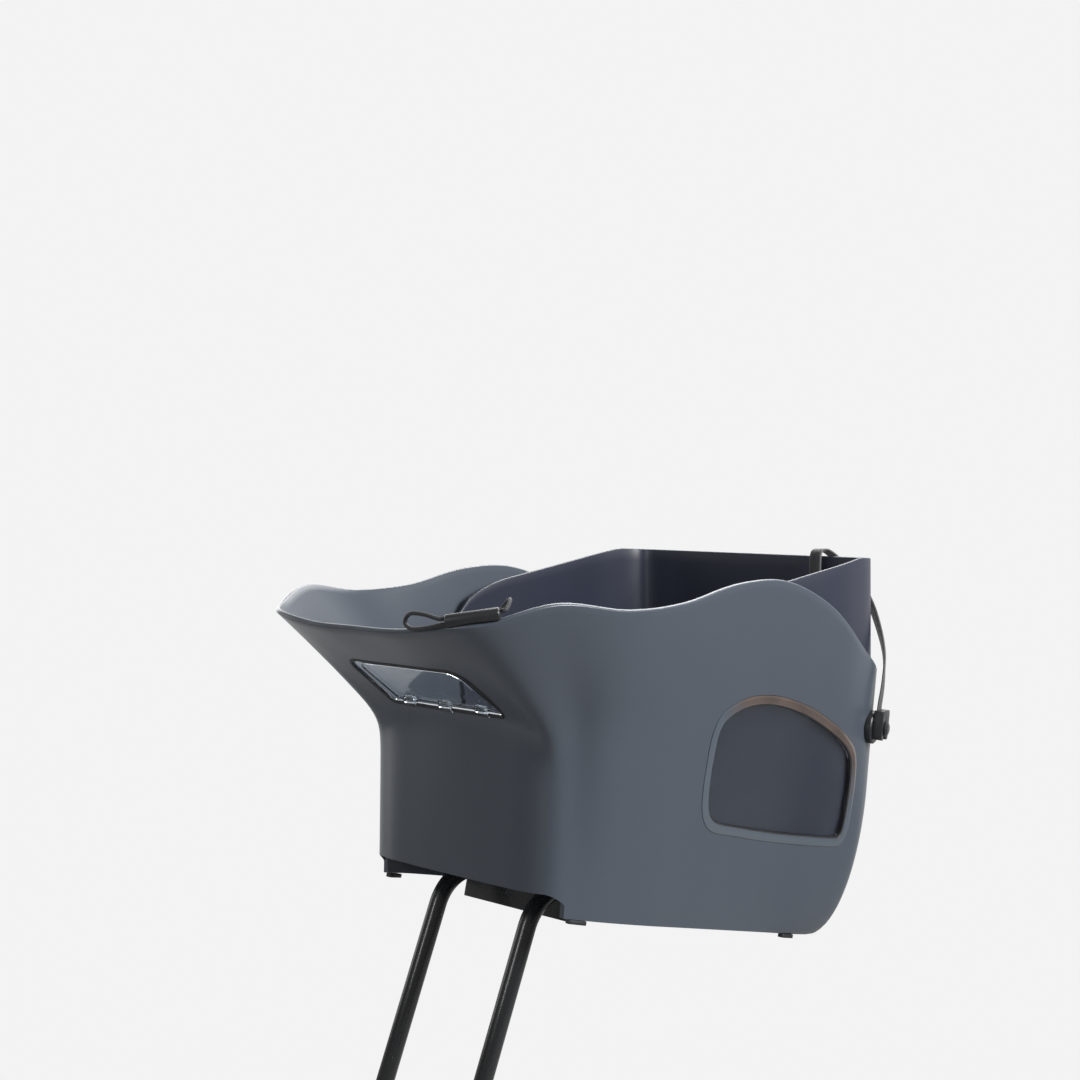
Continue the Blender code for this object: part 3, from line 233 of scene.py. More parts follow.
def bare_skin(station, row):
    """Point on the outside of the shell."""
    index = math.floor(station)
    rim_x, rim_y, rim_z, base_x, base_y, flare, belly, turn = spline(
        [outline_row(index + step) for step in (-1, 0, 1, 2)], station - index)
    rim = Vector((rim_x * rim_half_width, rim_y * (rim_front_reach if rim_y < 0 else rim_rear_reach),
                  rim_z * rim_height))
    base = Vector((base_x * base_half_width, base_y * (base_front_reach if base_y < 0 else base_rear_reach), 0))
    base.z = base_plane(base.y)
    bulge = math.sqrt(1 - (1 - min(max(row, 0) / belly_share, 1)) ** 2)
    spread = (1 - flare - belly) * row + flare * knee(row, turn) + belly * bulge
    point = base.lerp(rim, spread)
    point.z = base.z + row * (rim.z - base.z)
    return point


def skin_normal(station, row):
    """Outward direction, square to the outside of the shell."""
    along = bare_skin(station + 0.01, row) - bare_skin(station - 0.01, row)
    rising = bare_skin(station, row + 0.01) - bare_skin(station, max(row - 0.01, 0))
    return along.cross(rising).normalized()


def skin(station, row, depth):
    """Point at a depth below the outside of the shell."""
    return bare_skin(station, row) - depth * skin_normal(station, row)


def add_mesh(name, points, faces, finish=None, crease=40):
    """Mesh object in the basket's place, smooth where it is round."""
    mesh = bpy.data.meshes.new(name)
    mesh.from_pydata([tuple(Vector(point) + shell_place) for point in points], [], faces)
    shape = bmesh.new()
    shape.from_mesh(mesh)
    bmesh.ops.recalc_face_normals(shape, faces=shape.faces)
    shape.to_mesh(mesh)
    shape.free()
    mesh.shade_smooth()
    mesh.set_sharp_from_angle(angle=math.radians(crease))
    made = bpy.data.objects.new(name, mesh)
    scene.collection.objects.link(made)
    if finish:
        mesh.materials.append(finish)
    return made


def loft(name, loops, finish=None, crease=40, closed=False):
    """Solid through a list of closed loops of points, with flat ends or, if closed, from the last to the first."""
    size = len(loops[0])
    points = [point for loop in loops for point in loop]
    faces = []
    for index in range(len(loops) if closed else len(loops) - 1):
        a = index * size
        b = (index + 1) % len(loops) * size
        for i in range(size):
            faces.append([a + i, b + i, b + (i + 1) % size, a + (i + 1) % size])
    if not closed:
        faces.append(list(range(size))[::-1])
        faces.append(list(range(len(points) - size, len(points))))
    return add_mesh(name, points, faces, finish, crease)


def wall_section(place_point, rows, outside, inside, lip_radius):
    """Ring of points up the outside, over a rounded edge and down the inside."""
    ring = [place_point(row, outside) for row in rows]
    middle_depth = (outside + inside) / 2
    half = (inside - outside) / 2
    top = place_point(rows[-1], middle_depth)
    rise = (place_point(rows[-1], middle_depth) - place_point(rows[-1] - 0.02, middle_depth)).normalized()
    across = (place_point(rows[-1], outside) - top).normalized()
    for step in range(1, 6):
        angle = math.pi * step / 6
        ring.append(top + across * half * math.cos(angle) + rise * lip_radius * math.sin(angle))
    ring += [place_point(row, inside) for row in reversed(rows)]
    return ring


def cut_away(piece, cutter):
    """Cuts the cutter's shape out of a piece for good, and clears the cutter away."""
    trim = piece.modifiers.new("cut", "BOOLEAN")
    trim.object = cutter
    trim.operation = "DIFFERENCE"
    trim.solver = "EXACT"
    graph = bpy.context.evaluated_depsgraph_get()
    mesh = bpy.data.meshes.new_from_object(piece.evaluated_get(graph))
    piece.modifiers.clear()
    piece.data = mesh
    bpy.data.objects.remove(cutter)


def prism(name, outline, across, rising, centre, low, high):
    """Solid with a flat outline, between two distances from the plane of its centre."""
    out = across.cross(rising).normalized()
    flat = [centre + a * across + b * rising for a, b in outline]
    return loft(name, [[point + distance * out for point in flat] for distance in (low, high)])


def arc(across, rising, radius, start, turn, steps):
    """Points on an arc round a centre, from a start angle through a turn, both in degrees."""
    angles = [math.radians(start + turn * step / steps) for step in range(steps + 1)]
    return [(across + radius * math.cos(angle), rising + radius * math.sin(angle)) for angle in angles]


def inset(outline, amount, steps=1):
    """The same outline, drawn in by an amount; with more steps, its tight corners are eased on the way."""
    count = len(outline)
    drawn = [Vector(point) for point in outline]
    for _ in range(steps):
        moved = []
        for index, point in enumerate(drawn):
            along = (drawn[(index + 1) % count] - drawn[index - 1]).normalized()
            moved.append(point + Vector((-along.y, along.x)) * amount / steps)
        if steps > 1:
            middles = [(moved[index - 1] + moved[(index + 1) % count]) / 2 for index in range(count)]
            moved = [point.lerp(between, 0.25) for point, between in zip(moved, middles)]
        drawn = moved
    return drawn


def smooth(rows, steps):
    """Rows on a smooth curve through some rows of numbers, from the second of them to the last but one."""
    return [spline(rows[index:index + 4], step / steps) for index in range(len(rows) - 3) for step in range(steps)]


def new_material(name):
    """Material, with its tree and its Principled shader."""
    made = bpy.data.materials.new(name)
    made.use_nodes = True
    return made, made.node_tree, made.node_tree.nodes["Principled BSDF"]


def noise(tree, size, detail, roughness=0.5):
    """Adds noise in the object's own space, with spots of a size in millimetres."""
    place = node(tree, "ShaderNodeTexCoord").outputs["Object"]
    return node(tree, "ShaderNodeTexNoise", {"Vector": place, "Scale": 1000 / size, "Detail": detail,
                                             "Roughness": roughness})


def bump(tree, height, strength, distance):
    """Adds a Bump node of a strength and a height in metres."""
    return node(tree, "ShaderNodeBump", {"Height": height, "Strength": strength, "Distance": distance})


def blend(tree, share, low, high):
    """Colour between two others, each a hex colour or an output."""
    low, high = [linear(colour) if isinstance(colour, str) else colour for colour in (low, high)]
    return node(tree, "ShaderNodeMix", {"data_type": "RGBA", 0: share, 6: low, 7: high}).outputs[2]


# Moulded polypropylene: a spark-eroded tool leaves a fine grain, which spreads the highlights into a soft
# satin, and the colour runs a little lighter and darker over a hand's width where the melt flowed.
def moulded(name, colour, shade, roughness, grain, depth=0.12):
    """Satin thermoplastic with a grain of the given size in millimetres."""
    made, tree, shader = new_material(name)
    fine = noise(tree, grain, 4.0, 0.6)
    polish = node(tree, "ShaderNodeMapRange", {0: fine, 3: roughness - 0.05, 4: roughness + 0.07})
    adjust(shader, {"Base Color": blend(tree, noise(tree, 90, 3.0), colour, shade), "IOR": 1.49,
                    "Roughness": polish, "Normal": bump(tree, fine, depth, 0.2 * MM)})
    return made


# The tool's grain is about 0.3 mm; it is drawn at 1.1 mm so that it shows
shell_plastic = moulded("grey_blue_polypropylene", "444B54", "40464F", 0.33, 1.1, 0.05)

fine = 6
shell_rows = [step / 48 for step in range(49)]
shell_rows[1:1] = [0.004, 0.01]
shell_columns = []
for step in range(2 * rear_station * fine):
    station = step / fine
    shell_columns.append(wall_section(lambda row, depth: skin(station, row, depth), shell_rows, 0, wall, 1.4 * MM))
shell = loft("shell", shell_columns, shell_plastic, 50, True)

# The floor is moulded in one with the wall, 22 mm above the lower edge, and falls with it towards the rear
floor_height = 22 * MM
floor_thickness = 4 * MM


def level_point(station, height, depth):
    """Point at a height square to the plane of the lower edge and a depth below the outside."""
    tall = bare_skin(station, 1).z - bare_skin(station, 0).z
    lift = height / math.cos(base_slope)
    row = lift / tall
    for _ in range(14):
        point = skin(station, row, depth)
        row = max(row - (point.z - base_plane(point.y) - lift) / tall, 0)
    return Vector((point.x, point.y, base_plane(point.y) + lift))


floor_loops = [[level_point(step / 4, height, wall / 2) for step in range(2 * rear_station * 4)]
               for height in (floor_height, floor_height + floor_thickness)]
shell_floor = loft("shell_floor", floor_loops, shell_plastic)

# Arch in the front of the skirt, where the support tube comes out
arch_half_width = 101.5 * MM
arch_height = 14 * MM
arch_radius = 10 * MM
arch_reach = 19.5 * MM
arch_outline = [(-arch_half_width, -arch_reach)]
for side, start in ((-1, 180), (1, 90)):
    arch_outline += arc(side * (arch_half_width - arch_radius), arch_height - arch_radius, arch_radius, start, -90, 8)
arch_outline.append((arch_half_width, -arch_reach))
across_axis = Vector((1, 0, 0))
rear_axis = Vector((0, 1, 0))
up_axis = Vector((0, 0, 1))
cut_away(shell, prism("arch_cut", arch_outline, across_axis, up_axis, Vector((0, -base_front_reach, 0)), -arch_reach,
                      arch_reach))

# Window openings in the slope under the lip and in both sides
front_width = 131 * MM
front_length = 64 * MM
front_low = bare_skin(0, 0.69)
front_top = bare_skin(0, 0.875)
front_rising = (front_top - front_low).normalized()
front_centre = (front_low + front_top) / 2
front_outline = []
for side, end, radius, start in ((1, -1, 9 * MM, -90), (1, 1, 16 * MM, 0), (-1, 1, 16 * MM, 90), (-1, -1, 9 * MM, 180)):
    front_outline += arc(side * (front_width / 2 - radius), end * (front_length / 2 - radius), radius, start, 90, 8)
# Side window outline, as shares of its length from its front end and of its height from its lowest point
side_window_length = 194 * MM
side_window_height = 132 * MM
side_window_start = 22 * MM
side_window_low = 23 * MM
side_window_shares = (
    (0.00, 0.62), (0.005, 0.79), (0.05, 0.91), (0.17, 0.985), (0.31, 1.00), (0.45, 0.975), (0.63, 0.905),
    (0.79, 0.80), (0.92, 0.69), (0.985, 0.58), (1.00, 0.42), (0.995, 0.22), (0.985, 0.08), (0.95, 0.01),
    (0.88, 0.00), (0.55, 0.065), (0.25, 0.15), (0.10, 0.20), (0.03, 0.30), (0.005, 0.46),
)
side_points = [(side_window_start + side_window_length * a, side_window_low + side_window_height * b)
               for a, b in reversed(side_window_shares)]
side_outline = smooth([side_points[-1], *side_points, *side_points[:2]], 4)
side_middle = Vector(((rim_half_width + base_half_width) / 2, 0, 0))
cutter_reach = 28.25 * MM
for outline, across, rising, centre in ((front_outline, across_axis, front_rising, front_centre),
                                        (side_outline, rear_axis, up_axis, side_middle),
                                        (side_outline, rear_axis, up_axis, -side_middle)):
    cut_away(shell, prism("window_cut", outline, across, rising, centre, -cutter_reach, cutter_reach))
shell.data.shade_smooth()
shell.data.set_sharp_from_angle(angle=math.radians(50))
for piece in (shell, shell_floor):
    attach(piece, "basket")
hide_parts("outer_shell")


# Windows in the slope under the lip and in both sides: each clear pane lies in a moulded seal and each seal in
# its opening, both bent to the wall. The seals of the side windows are broad and glossy.
def window_point(across, rising, centre, guess, a, b, depth):
    """Point at a depth below the outside, over the place a across and b up a window's flat outline."""
    station, row = guess
    for _ in range(7):
        offsets = []
        for ahead_station, ahead_row in ((0, 0), (0.01, 0), (0, 0.01)):
            offset = bare_skin(station + ahead_station, row + ahead_row) - centre
            offsets.append(Vector((offset.dot(across), offset.dot(rising))))
        miss = Vector((a, b)) - offsets[0]
        by_station = (offsets[1] - offsets[0]) * 100
        by_row = (offsets[2] - offsets[0]) * 100
        spread = by_station.x * by_row.y - by_station.y * by_row.x
        station += (miss.x * by_row.y - miss.y * by_row.x) / spread
        row += (by_station.x * miss.y - by_station.y * miss.x) / spread
    return skin(station, row, depth)


def seal(name, place_on, outline, bezel_line, rise, finish):
    """Seal swept round an opening: it fills the wall's thickness and stands a little proud, with rounded edges."""
    outside_line = inset(outline, seat_gap)
    columns = []
    for outer, inner in zip(outside_line, bezel_line):
        ring = []
        for share, depth in ((0, wall), (0, 0.2 * MM - rise), (0.06, -rise), (0.5, -rise - 0.25 * MM), (0.86, -rise),
                             (0.89, 0.4 * MM - rise), (1, 0.6 * MM - rise), (1, wall)):
            spot = Vector(outer).lerp(Vector(inner), share)
            ring.append(place_on(spot.x, spot.y, depth))
        columns.append(ring)
    made = loft(name, columns, finish, 50, True)
    # The inner step down to the pane takes the black rubber; round the side panes this black line is painted shade,
    # standing in for the shadow in the gap by the pane.
    made.data.materials.append(seal_rubber)
    for face in made.data.polygons:
        face.material_index = int(face.index % 8 in (4, 5, 6))
    return made


def pane(name, place_on, outline, outside, inside, finish, border):
    """Clear pane bent to the wall, with a border that stands out of it by a given amount."""
    # Rings of the pane: the share of the way to its edge, and of the border's height
    rings = ((0.2, 0), (0.4, 0), (0.6, 0), (0.8, 0), (0.875, 0), (0.885, 1), (0.985, 1), (1, 0.5))
    count = len(outline)
    middle_spot = sum((Vector(point) for point in outline), Vector((0, 0))) / count
    points = []
    faces = []
    for depth, height in ((outside, border), (inside, 0)):
        start = len(points)
        points.append(place_on(middle_spot.x, middle_spot.y, depth))
        for share, raised in rings:
            for point in outline:
                spot = middle_spot.lerp(Vector(point), share)
                points.append(place_on(spot.x, spot.y, depth - raised * height))
        for i in range(count):
            faces.append([start, start + 1 + i, start + 1 + (i + 1) % count])
            for ring in range(len(rings) - 1):
                a = start + 1 + ring * count
                faces.append([a + i, a + count + i, a + count + (i + 1) % count, a + (i + 1) % count])
    edge = 1 + (len(rings) - 1) * count
    back = 1 + len(rings) * count
    for i in range(count):
        faces.append([edge + i, back + edge + i, back + edge + (i + 1) % count, edge + (i + 1) % count])
    return add_mesh(name, points, faces, finish, 50)


# Clear polycarbonate, thermoformed: glass-like and faintly cool, with a slight ripple in its face
lens_plastic, tree, shader = new_material("clear_polycarbonate")
adjust(shader, {"Base Color": linear("E4E9ED"), "Transmission Weight": 1.0, "IOR": 1.2, "Roughness": 0.0,
                "Normal": bump(tree, noise(tree, 45, 1.0), 0.08, 1 * MM)})

# EPDM seal of the front window: matt black, with the faint bloom that rubber gets. The feet are of the same rubber,
# and so is the black line round the side panes, which is painted shade along the shadowed gap by each pane.
seal_rubber = moulded("black_epdm_rubber", "17181A", "202225", 0.55, 1.4, 0.08)

# Bezel of the side windows: smoked PMMA with a polished face, slate blue where it shows what lies behind it.
# The mottled brown in its upper rear part is a painted reflection, mixed into its colour.
bezel_acrylic, tree, shader = new_material("smoked_acrylic")
place = node(tree, "ShaderNodeTexCoord").outputs["Object"]
parts = node(tree, "ShaderNodeSeparateXYZ", {0: place}).outputs
# Painted reflection: over the upper rear part of the bezel, marked out by height and by distance rearwards, a mottled
# brown is mixed into the slate blue
climb = node(tree, "ShaderNodeMapRange", {0: parts["Z"], 1: shell_place.z + 0.05, 2: shell_place.z + 0.1})
rearward = node(tree, "ShaderNodeMapRange", {0: parts["Y"], 1: shell_place.y + 0.03, 2: shell_place.y + 0.06})
painted_brown_reflection = blend(tree, noise(tree, 24, 3.0), "37312F", "5F524C")
slate_with_painted_reflection = blend(tree, calc(tree, "MULTIPLY", climb, rearward), "49515A", painted_brown_reflection)
adjust(shader, {"Base Color": slate_with_painted_reflection, "Roughness": 0.12, "IOR": 1.49, "Coat Weight": 0.4, "Coat Roughness": 0.05})

lens_recess = 1.2 * MM
lens_thickness = 2.4 * MM
seal_rise = 0.5 * MM
# Each window's flat outline with its directions and middle, the station and row that its search starts from,
# the width of its seal, the steps of the inset, the height of the pane's border, and the seal's finish and slot
windows = (
    (front_outline, across_axis, front_rising, front_centre, (0.2, 0.85), 3 * MM, 1, 0.9 * MM, seal_rubber, "rubber",
     ("front",)),
    (side_outline, rear_axis, up_axis, side_middle, (8.3, 0.5), 8 * MM, 6, 0, bezel_acrylic, "bezel",
     ("left", "right")),
)
for outline, across, rising, centre, guess, bezel, ease, border, finish, seal_slot, sides in windows:
    def place_on(a, b, depth):
        return window_point(across, rising, centre, guess, a, b, depth)
    bezel_line = inset(outline, bezel, ease)
    pieces = [seal(sides[0] + "_seal", place_on, outline, bezel_line, seal_rise, finish),
              pane(sides[0] + "_lens", place_on, inset(bezel_line, seat_gap), lens_recess,
                   lens_recess + lens_thickness, lens_plastic, border)]
    for side in sides:
        for piece, kind, slot in zip(pieces, ("gasket", "lens"), (seal_slot, "lens")):
            if side == "right":
                copy = bpy.data.objects.new(piece.name.replace("left", "right"), piece.data.copy())
                scene.collection.objects.link(copy)
                copy.data.transform(Matrix.Scale(-1, 4, across_axis))
                copy.data.flip_normals()
                piece = copy
            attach(piece, "basket")
            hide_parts(f"{side}_window_{kind}")

# Back panel: 3 mm navy polypropylene sheet, bent to a U. It stands on the floor, follows the inside of the tub
# and rises above its rim, leaning a little forwards; the anchor screws hold it.
panel_depth = wall + 1.2 * MM
panel_thickness = 3 * MM
panel_bend_height = 172 * MM
panel_lean = math.radians(4)
panel_front = 20 / 3
panel_top_height = 265 * MM
panel_front_height = 205 * MM
wing_fall = math.radians(11.5)
wing_start = 216 * MM
wing_round = 60 * MM


def panel_point(station, height, depth):
    """Point on the back panel at a height above the origin and a depth below the tub's outside."""
    tall = bare_skin(station, 1).z - bare_skin(station, 0).z
    level = min(height, panel_bend_height)
    row = (level - bare_skin(station, 0).z) / tall
    for _ in range(14):
        point = skin(station, row, depth)
        row = max(row + (level - point.z) / tall, 0)
    return Vector((point.x, point.y - (height - level) * math.tan(panel_lean), height))


def panel_top(station):
    """The top edge is level across the rear, falls forwards along the wings and rounds off at their front."""
    run = panel_point(station, panel_bend_height, panel_depth).y
    start = panel_point(panel_front, panel_bend_height, panel_depth).y
    top = panel_top_height - math.tan(wing_fall) * max(wing_start - run, 0)
    share = min((run - start) / wing_round, 1)
    return top - (1 - math.sqrt(max(1 - (1 - share) ** 2, 0))) * (top - panel_front_height)


panel_plastic = moulded("navy_polypropylene_sheet", "272B3A", "242834", 0.4, 0.9, 0.03)
panel_columns = []
panel_run = 2 * rear_station - 2 * panel_front
panel_steps = round(panel_run * fine)
for step in range(panel_steps + 1):
    station = panel_front + panel_run * step / panel_steps
    low = level_point(station, floor_height + floor_thickness + seat_gap, panel_depth + panel_thickness).z + MM
    top = panel_top(station)
    heights = [low + (panel_bend_height - 4 * MM - low) * (share / 12) ** 1.3 for share in range(13)]
    heights += [panel_bend_height + (top - 1.4 * MM - panel_bend_height) * share / 9 for share in range(10)]
    panel_columns.append(wall_section(lambda height, depth: panel_point(station, height, depth), heights, panel_depth,
                                      panel_depth + panel_thickness, 1.3 * MM))
panel = loft("panel", panel_columns, panel_plastic, 50)
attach(panel, "basket")
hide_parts("back_panel")

# Support tube: 14 mm steel tube in one piece, bent to two rails and two legs and powder-coated satin black.
# A plug of moulded acetal closes each lower end.
tube_radius = 7 * MM
leg_half_spacing = 50 * MM
leg_length = 180 * MM
leg_rake = math.radians(20)
bend_radius = 36 * MM
front_bend_along = 72 * MM
rear_bend_along = 245 * MM
rail_height = floor_height - seat_gap - tube_radius
slope_rearward = Vector((0, math.cos(base_slope), -math.sin(base_slope)))
slope_up = Vector((0, math.sin(base_slope), math.cos(base_slope)))

# Thin powder coat on the steel, satin black: a fine orange peel breaks up its highlights
black_coat, tree, shader = new_material("black_powder_coated_steel")
peel = noise(tree, 1.6, 2.0)
polish = node(tree, "ShaderNodeMapRange", {0: peel, 3: 0.25, 4: 0.3})
adjust(shader, {"Base Color": linear("1B1C1E"), "Roughness": polish, "Normal": bump(tree, peel, 0.04, 0.2 * MM),
                "Coat Weight": 0.15, "Coat Roughness": 0.2})


def on_base(x, along, height):
    """Point at a distance along the sloping floor and a height over the lower edge."""
    return Vector((x, -base_front_reach, 0)) + along * slope_rearward + height * slope_up


def arc_way(angle):
    """Direction down and forwards, turned by an angle from straight down."""
    return Vector((0, -math.sin(angle), -math.cos(angle)))


turn_centre = on_base(leg_half_spacing, front_bend_along, rail_height) + bend_radius * arc_way(base_slope)
bend_turn = math.pi / 2 - leg_rake + base_slope
left_leg = [turn_centre - bend_radius * arc_way(base_slope - bend_turn * step / 24) for step in range(25)]
left_leg.append(left_leg[-1] + leg_length * arc_way(leg_rake))
left_leg.reverse()
for step in range(19):
    angle = math.pi / 2 * step / 18
    left_leg.append(on_base(leg_half_spacing * math.cos(angle), rear_bend_along + leg_half_spacing * math.sin(angle),
                            rail_height))
tube_route = left_leg + [Vector((-point.x, point.y, point.z)) for point in left_leg[-2::-1]]


def rod(name, route, radius, finish, sides):
    """Round bar along a route, with its cross sections turned as little as possible and slightly rounded ends."""
    angles = [2 * math.pi * side / sides for side in range(sides)]
    loops = []
    last = len(route) - 1
    across = None
    for index, point in enumerate(route):
        tangent = (route[min(index + 1, last)] - route[max(index - 1, 0)]).normalized()
        across = tangent.orthogonal() if across is None else across - across.dot(tangent) * tangent
        across.normalize()
        rising = tangent.cross(across)
        around = [math.cos(angle) * across + math.sin(angle) * rising for angle in angles]
        if index in (0, last):
            back = tangent * radius * 0.12 * (1 if index else -1)
            rim = [point + radius * 0.86 * way for way in around]
            shoulder = [point - back + radius * way for way in around]
            loops += [shoulder, rim] if index else [rim, shoulder]
        else:
            loops.append([point + radius * way for way in around])
    return loft(name, loops, finish, 60)


tube = rod("bent_tube", tube_route, tube_radius, black_coat, 32)
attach(tube, "basket")
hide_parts("support_tube")


# Small hardware keeps its own solids, with their edges broken by a fine radius. Bolts, nuts, washers, screws and
# pins are turned or pressed steel.
def dress(name, finish, edge=0.35):
    """Gives a piece of hardware its finish, and breaks its sharp edges by a radius in millimetres."""
    sharp_angle = math.radians(38)
    piece = nodes[name]
    piece.data.materials.clear()
    piece.data.materials.append(finish)
    piece.data.shade_smooth()
    piece.modifiers.new("weld", "WELD").merge_threshold = 0.01 * MM
    round_edge = piece.modifiers.new("edges", "BEVEL")
    round_edge.width = edge * MM
    round_edge.segments = 2
    round_edge.limit_method = "ANGLE"
    round_edge.angle_limit = sharp_angle
    piece.modifiers.new("facets", "EDGE_SPLIT").split_angle = sharp_angle


# Zinc-plated steel: bright, with a fine spangle that changes its polish
bright_zinc, tree, shader = new_material("bright_zinc_plated_steel")
polish = node(tree, "ShaderNodeMapRange", {0: noise(tree, 2.5, 3.0), 3: 0.2, 4: 0.36})
adjust(shader, {"Base Color": linear("C4C7CA"), "Metallic": 1.0, "Roughness": polish})
for name in nodes:
    if name.startswith(("floor_bolt", "washer", "nut_", "anchor_screw")) or name.endswith(("_gate_pin", "_screw")):
        dress(name, bright_zinc)

# Black acetal: moulded with a low sheen, for the plugs, the buttons, the clip, the slide and the sleeve
black_acetal = moulded("black_acetal", "1C1D20", "222326", 0.38, 0.8)

# The plates are punched and folded steel, and the hooks and their eyes forged steel, all with the tube's coat.
# The feet are rubber, and the gates are bent from bright wire.
for finish, edge, names in (
    (black_coat, 0.6, ("front_cross_plate", "rear_cross_plate", "front_tether_plate")),
    (black_acetal, 0.5, ("tube_plug_left", "tube_plug_right", "rear_anchor_left", "rear_anchor_right",
                         "rear_tether_clip", "rear_tether_adjuster", "front_tether_sleeve")),
    (seal_rubber, 0.8, ("foot_front_left", "foot_front_right", "foot_rear_left", "foot_rear_right")),
    (black_coat, 0.3, ("front_hook_body", "front_hook_eye", "rear_hook_body", "rear_hook_eye")),
    (bright_zinc, 0.2, ("front_hook_gate", "rear_hook_gate")),
):
    for name in names:
        dress(name, finish, edge)

# Snap tabs of the front lens: three clear lugs, moulded on its lower edge. They lie over the pane's border and
# hook over the seal below it.
tab_spacing = 40 * MM
tab_half_width = 6 * MM
tab_low = -front_length / 2 + 3 * MM + seat_gap
for index, across in enumerate((-tab_spacing, 0, tab_spacing)):
    station, row = 0, 0.76
    for _ in range(40):
        offset = bare_skin(station, row) - front_centre
        station += (across - offset.x) / (2 * front_length)
        row += (tab_low - offset.dot(front_rising)) / (8 * front_length)
    out = skin_normal(station, row)
    rising = (front_rising - front_rising.dot(out) * out).normalized()
    under = 1.1 * MM
    inner = -lens_recess - lens_thickness / 2
    profile = [(6 * MM, inner), (6 * MM, under + 0.4 * MM), (5.4 * MM, under + 0.9 * MM), (-2.2 * MM, under + 1.4 * MM),
               (-2.9 * MM, under + 1.1 * MM), (-2.9 * MM, under + 0.5 * MM), (0.3 * MM, under), (0.3 * MM, inner)]
    tab = prism(f"lens_tab_{index}", profile, rising, out, bare_skin(station, row), -tab_half_width, tab_half_width)
    tab.data.materials.append(lens_plastic)
    soften = tab.modifiers.new("edges", "BEVEL")
    soften.width = 0.5 * MM
    soften.segments = 3
    soften.angle_limit = math.radians(30)
    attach(tab, "basket")

# Floor mat: 5 mm closed-cell EVA foam, die-cut to the floor, where the dog sits on it. Its face is embossed with
# small raised pebbles, and the grooves between them are coloured darker than the pebbles.
mat_foam, tree, shader = new_material("charcoal_eva_foam")
place = node(tree, "ShaderNodeTexCoord").outputs["Object"]
pebble = node(tree, "ShaderNodeTexVoronoi", {"voronoi_dimensions": "2D", "feature": "DISTANCE_TO_EDGE",
                                             "Vector": place, "Scale": 1000 / 7, "Randomness": 0.7})
raised = node(tree, "ShaderNodeMapRange", {"interpolation_type": "SMOOTHSTEP", 0: pebble.outputs["Distance"],
                                           1: 0.02, 2: 0.16})
cell = noise(tree, 0.9, 2.0)
relief = bump(tree, raised, 0.6, 0.6 * MM)
grit = node(tree, "ShaderNodeBump", {"Height": cell, "Normal": relief, "Strength": 0.25, "Distance": 0.2 * MM})
adjust(shader, {"Base Color": blend(tree, raised, "1B1C1E", blend(tree, cell, "26282B", "3A3D41")),
                "Normal": grit, "Roughness": 0.82, "Specular IOR Level": 0.3})
dress("floor_mat", mat_foam, 0.9)


# Rear tether: 12 mm woven nylon webbing. It leaves the clip, lies over the top of the back panel, hangs down
# through the slide and turns round the swivel eye, where its end is sewn back on itself with two bar tacks.
def webbing_material(name, dark, light, edge, width):
    """Plain-woven tape: rounded weft ribs across it, fine warp ends along it, painted shade in its hollows and painted
    light on its crowns, and a lighter bound edge.
    """
    rib_pitch = 1.5 * MM
    warp_pitch = 0.8 * MM
    made, tree, shader = new_material(name)
    place = node(tree, "ShaderNodeUVMap", {"uv_map": "weave"})
    parts = node(tree, "ShaderNodeSeparateXYZ", {0: place}).outputs

    def wave(source, pitch, shift=0):
        angle = calc(tree, "MULTIPLY_ADD", source, 2 * math.pi / pitch, shift)
        return calc(tree, "MULTIPLY_ADD", calc(tree, "SINE", angle), 0.5, 0.5)

    warp_end = calc(tree, "FLOOR", calc(tree, "DIVIDE", parts["X"], warp_pitch))
    ribs = wave(parts["Y"], rib_pitch, calc(tree, "MULTIPLY", warp_end, math.pi))
    height = calc(tree, "MULTIPLY", ribs, wave(parts["X"], warp_pitch))
    side = calc(tree, "ABSOLUTE", parts["X"])
    bound = node(tree, "ShaderNodeMapRange", {0: side, 1: width / 2 - 1.5 * MM, 2: width / 2 - 0.9 * MM})
    # Painted light and shade: the weave is coloured dark in its hollows and light on its crowns
    adjust(shader, {"Base Color": blend(tree, bound, blend(tree, height, dark, light), edge), "Roughness": 0.62,
                    "Normal": bump(tree, height, 0.7, 0.3 * MM), "Sheen Weight": 0.25, "Sheen Roughness": 0.4})
    return made


def smooth_route(points, steps):
    """Points on a smooth curve through an open list of points."""
    rows = smooth([points[0], *points, points[-1]], steps)
    return [Vector(row) for row in (*rows, points[-1])]


def swept(name, route, facings, outline, finish):
    """Solid with a cross section of (across, out) points along a route; its map runs across and along in metres."""
    loops = []
    spots = []
    run = 0
    count = len(outline)
    for index, point in enumerate(route):
        before = route[max(index - 1, 0)]
        tangent = (route[min(index + 1, len(route) - 1)] - before).normalized()
        if facings:
            facing = facings[index]
        elif index == 0:
            facing = tangent.orthogonal()
        facing = (facing - facing.dot(tangent) * tangent).normalized()
        side = tangent.cross(facing)
        run += (point - before).length
        spots.append(run)
        loops.append([point + a * side + b * facing for a, b in outline])
    made = loft(name, loops, finish, 60)
    layer = made.data.uv_layers.new(name="weave")
    girth = [0]
    for a, b in zip(outline, outline[1:] + outline[:1]):
        girth.append(girth[-1] + math.dist(a, b))
    for face in made.data.polygons:
        closes = max(vertex % count for vertex in face.vertices) == count - 1
        for corner, vertex in zip(face.loop_indices, face.vertices):
            ring, i = divmod(vertex, count)
            across = outline[i][0] if facings else girth[count if closes and i == 0 else i]
            layer.data[corner].uv = (across, spots[ring])
    return made, run


def tape_outline(width, thickness):
    """Cross section of a woven tape, with rounded selvedges."""
    radius = thickness / 2
    return arc(width / 2 - radius, 0, radius, -90, 180, 4) + arc(radius - width / 2, 0, radius, 90, 180, 4)


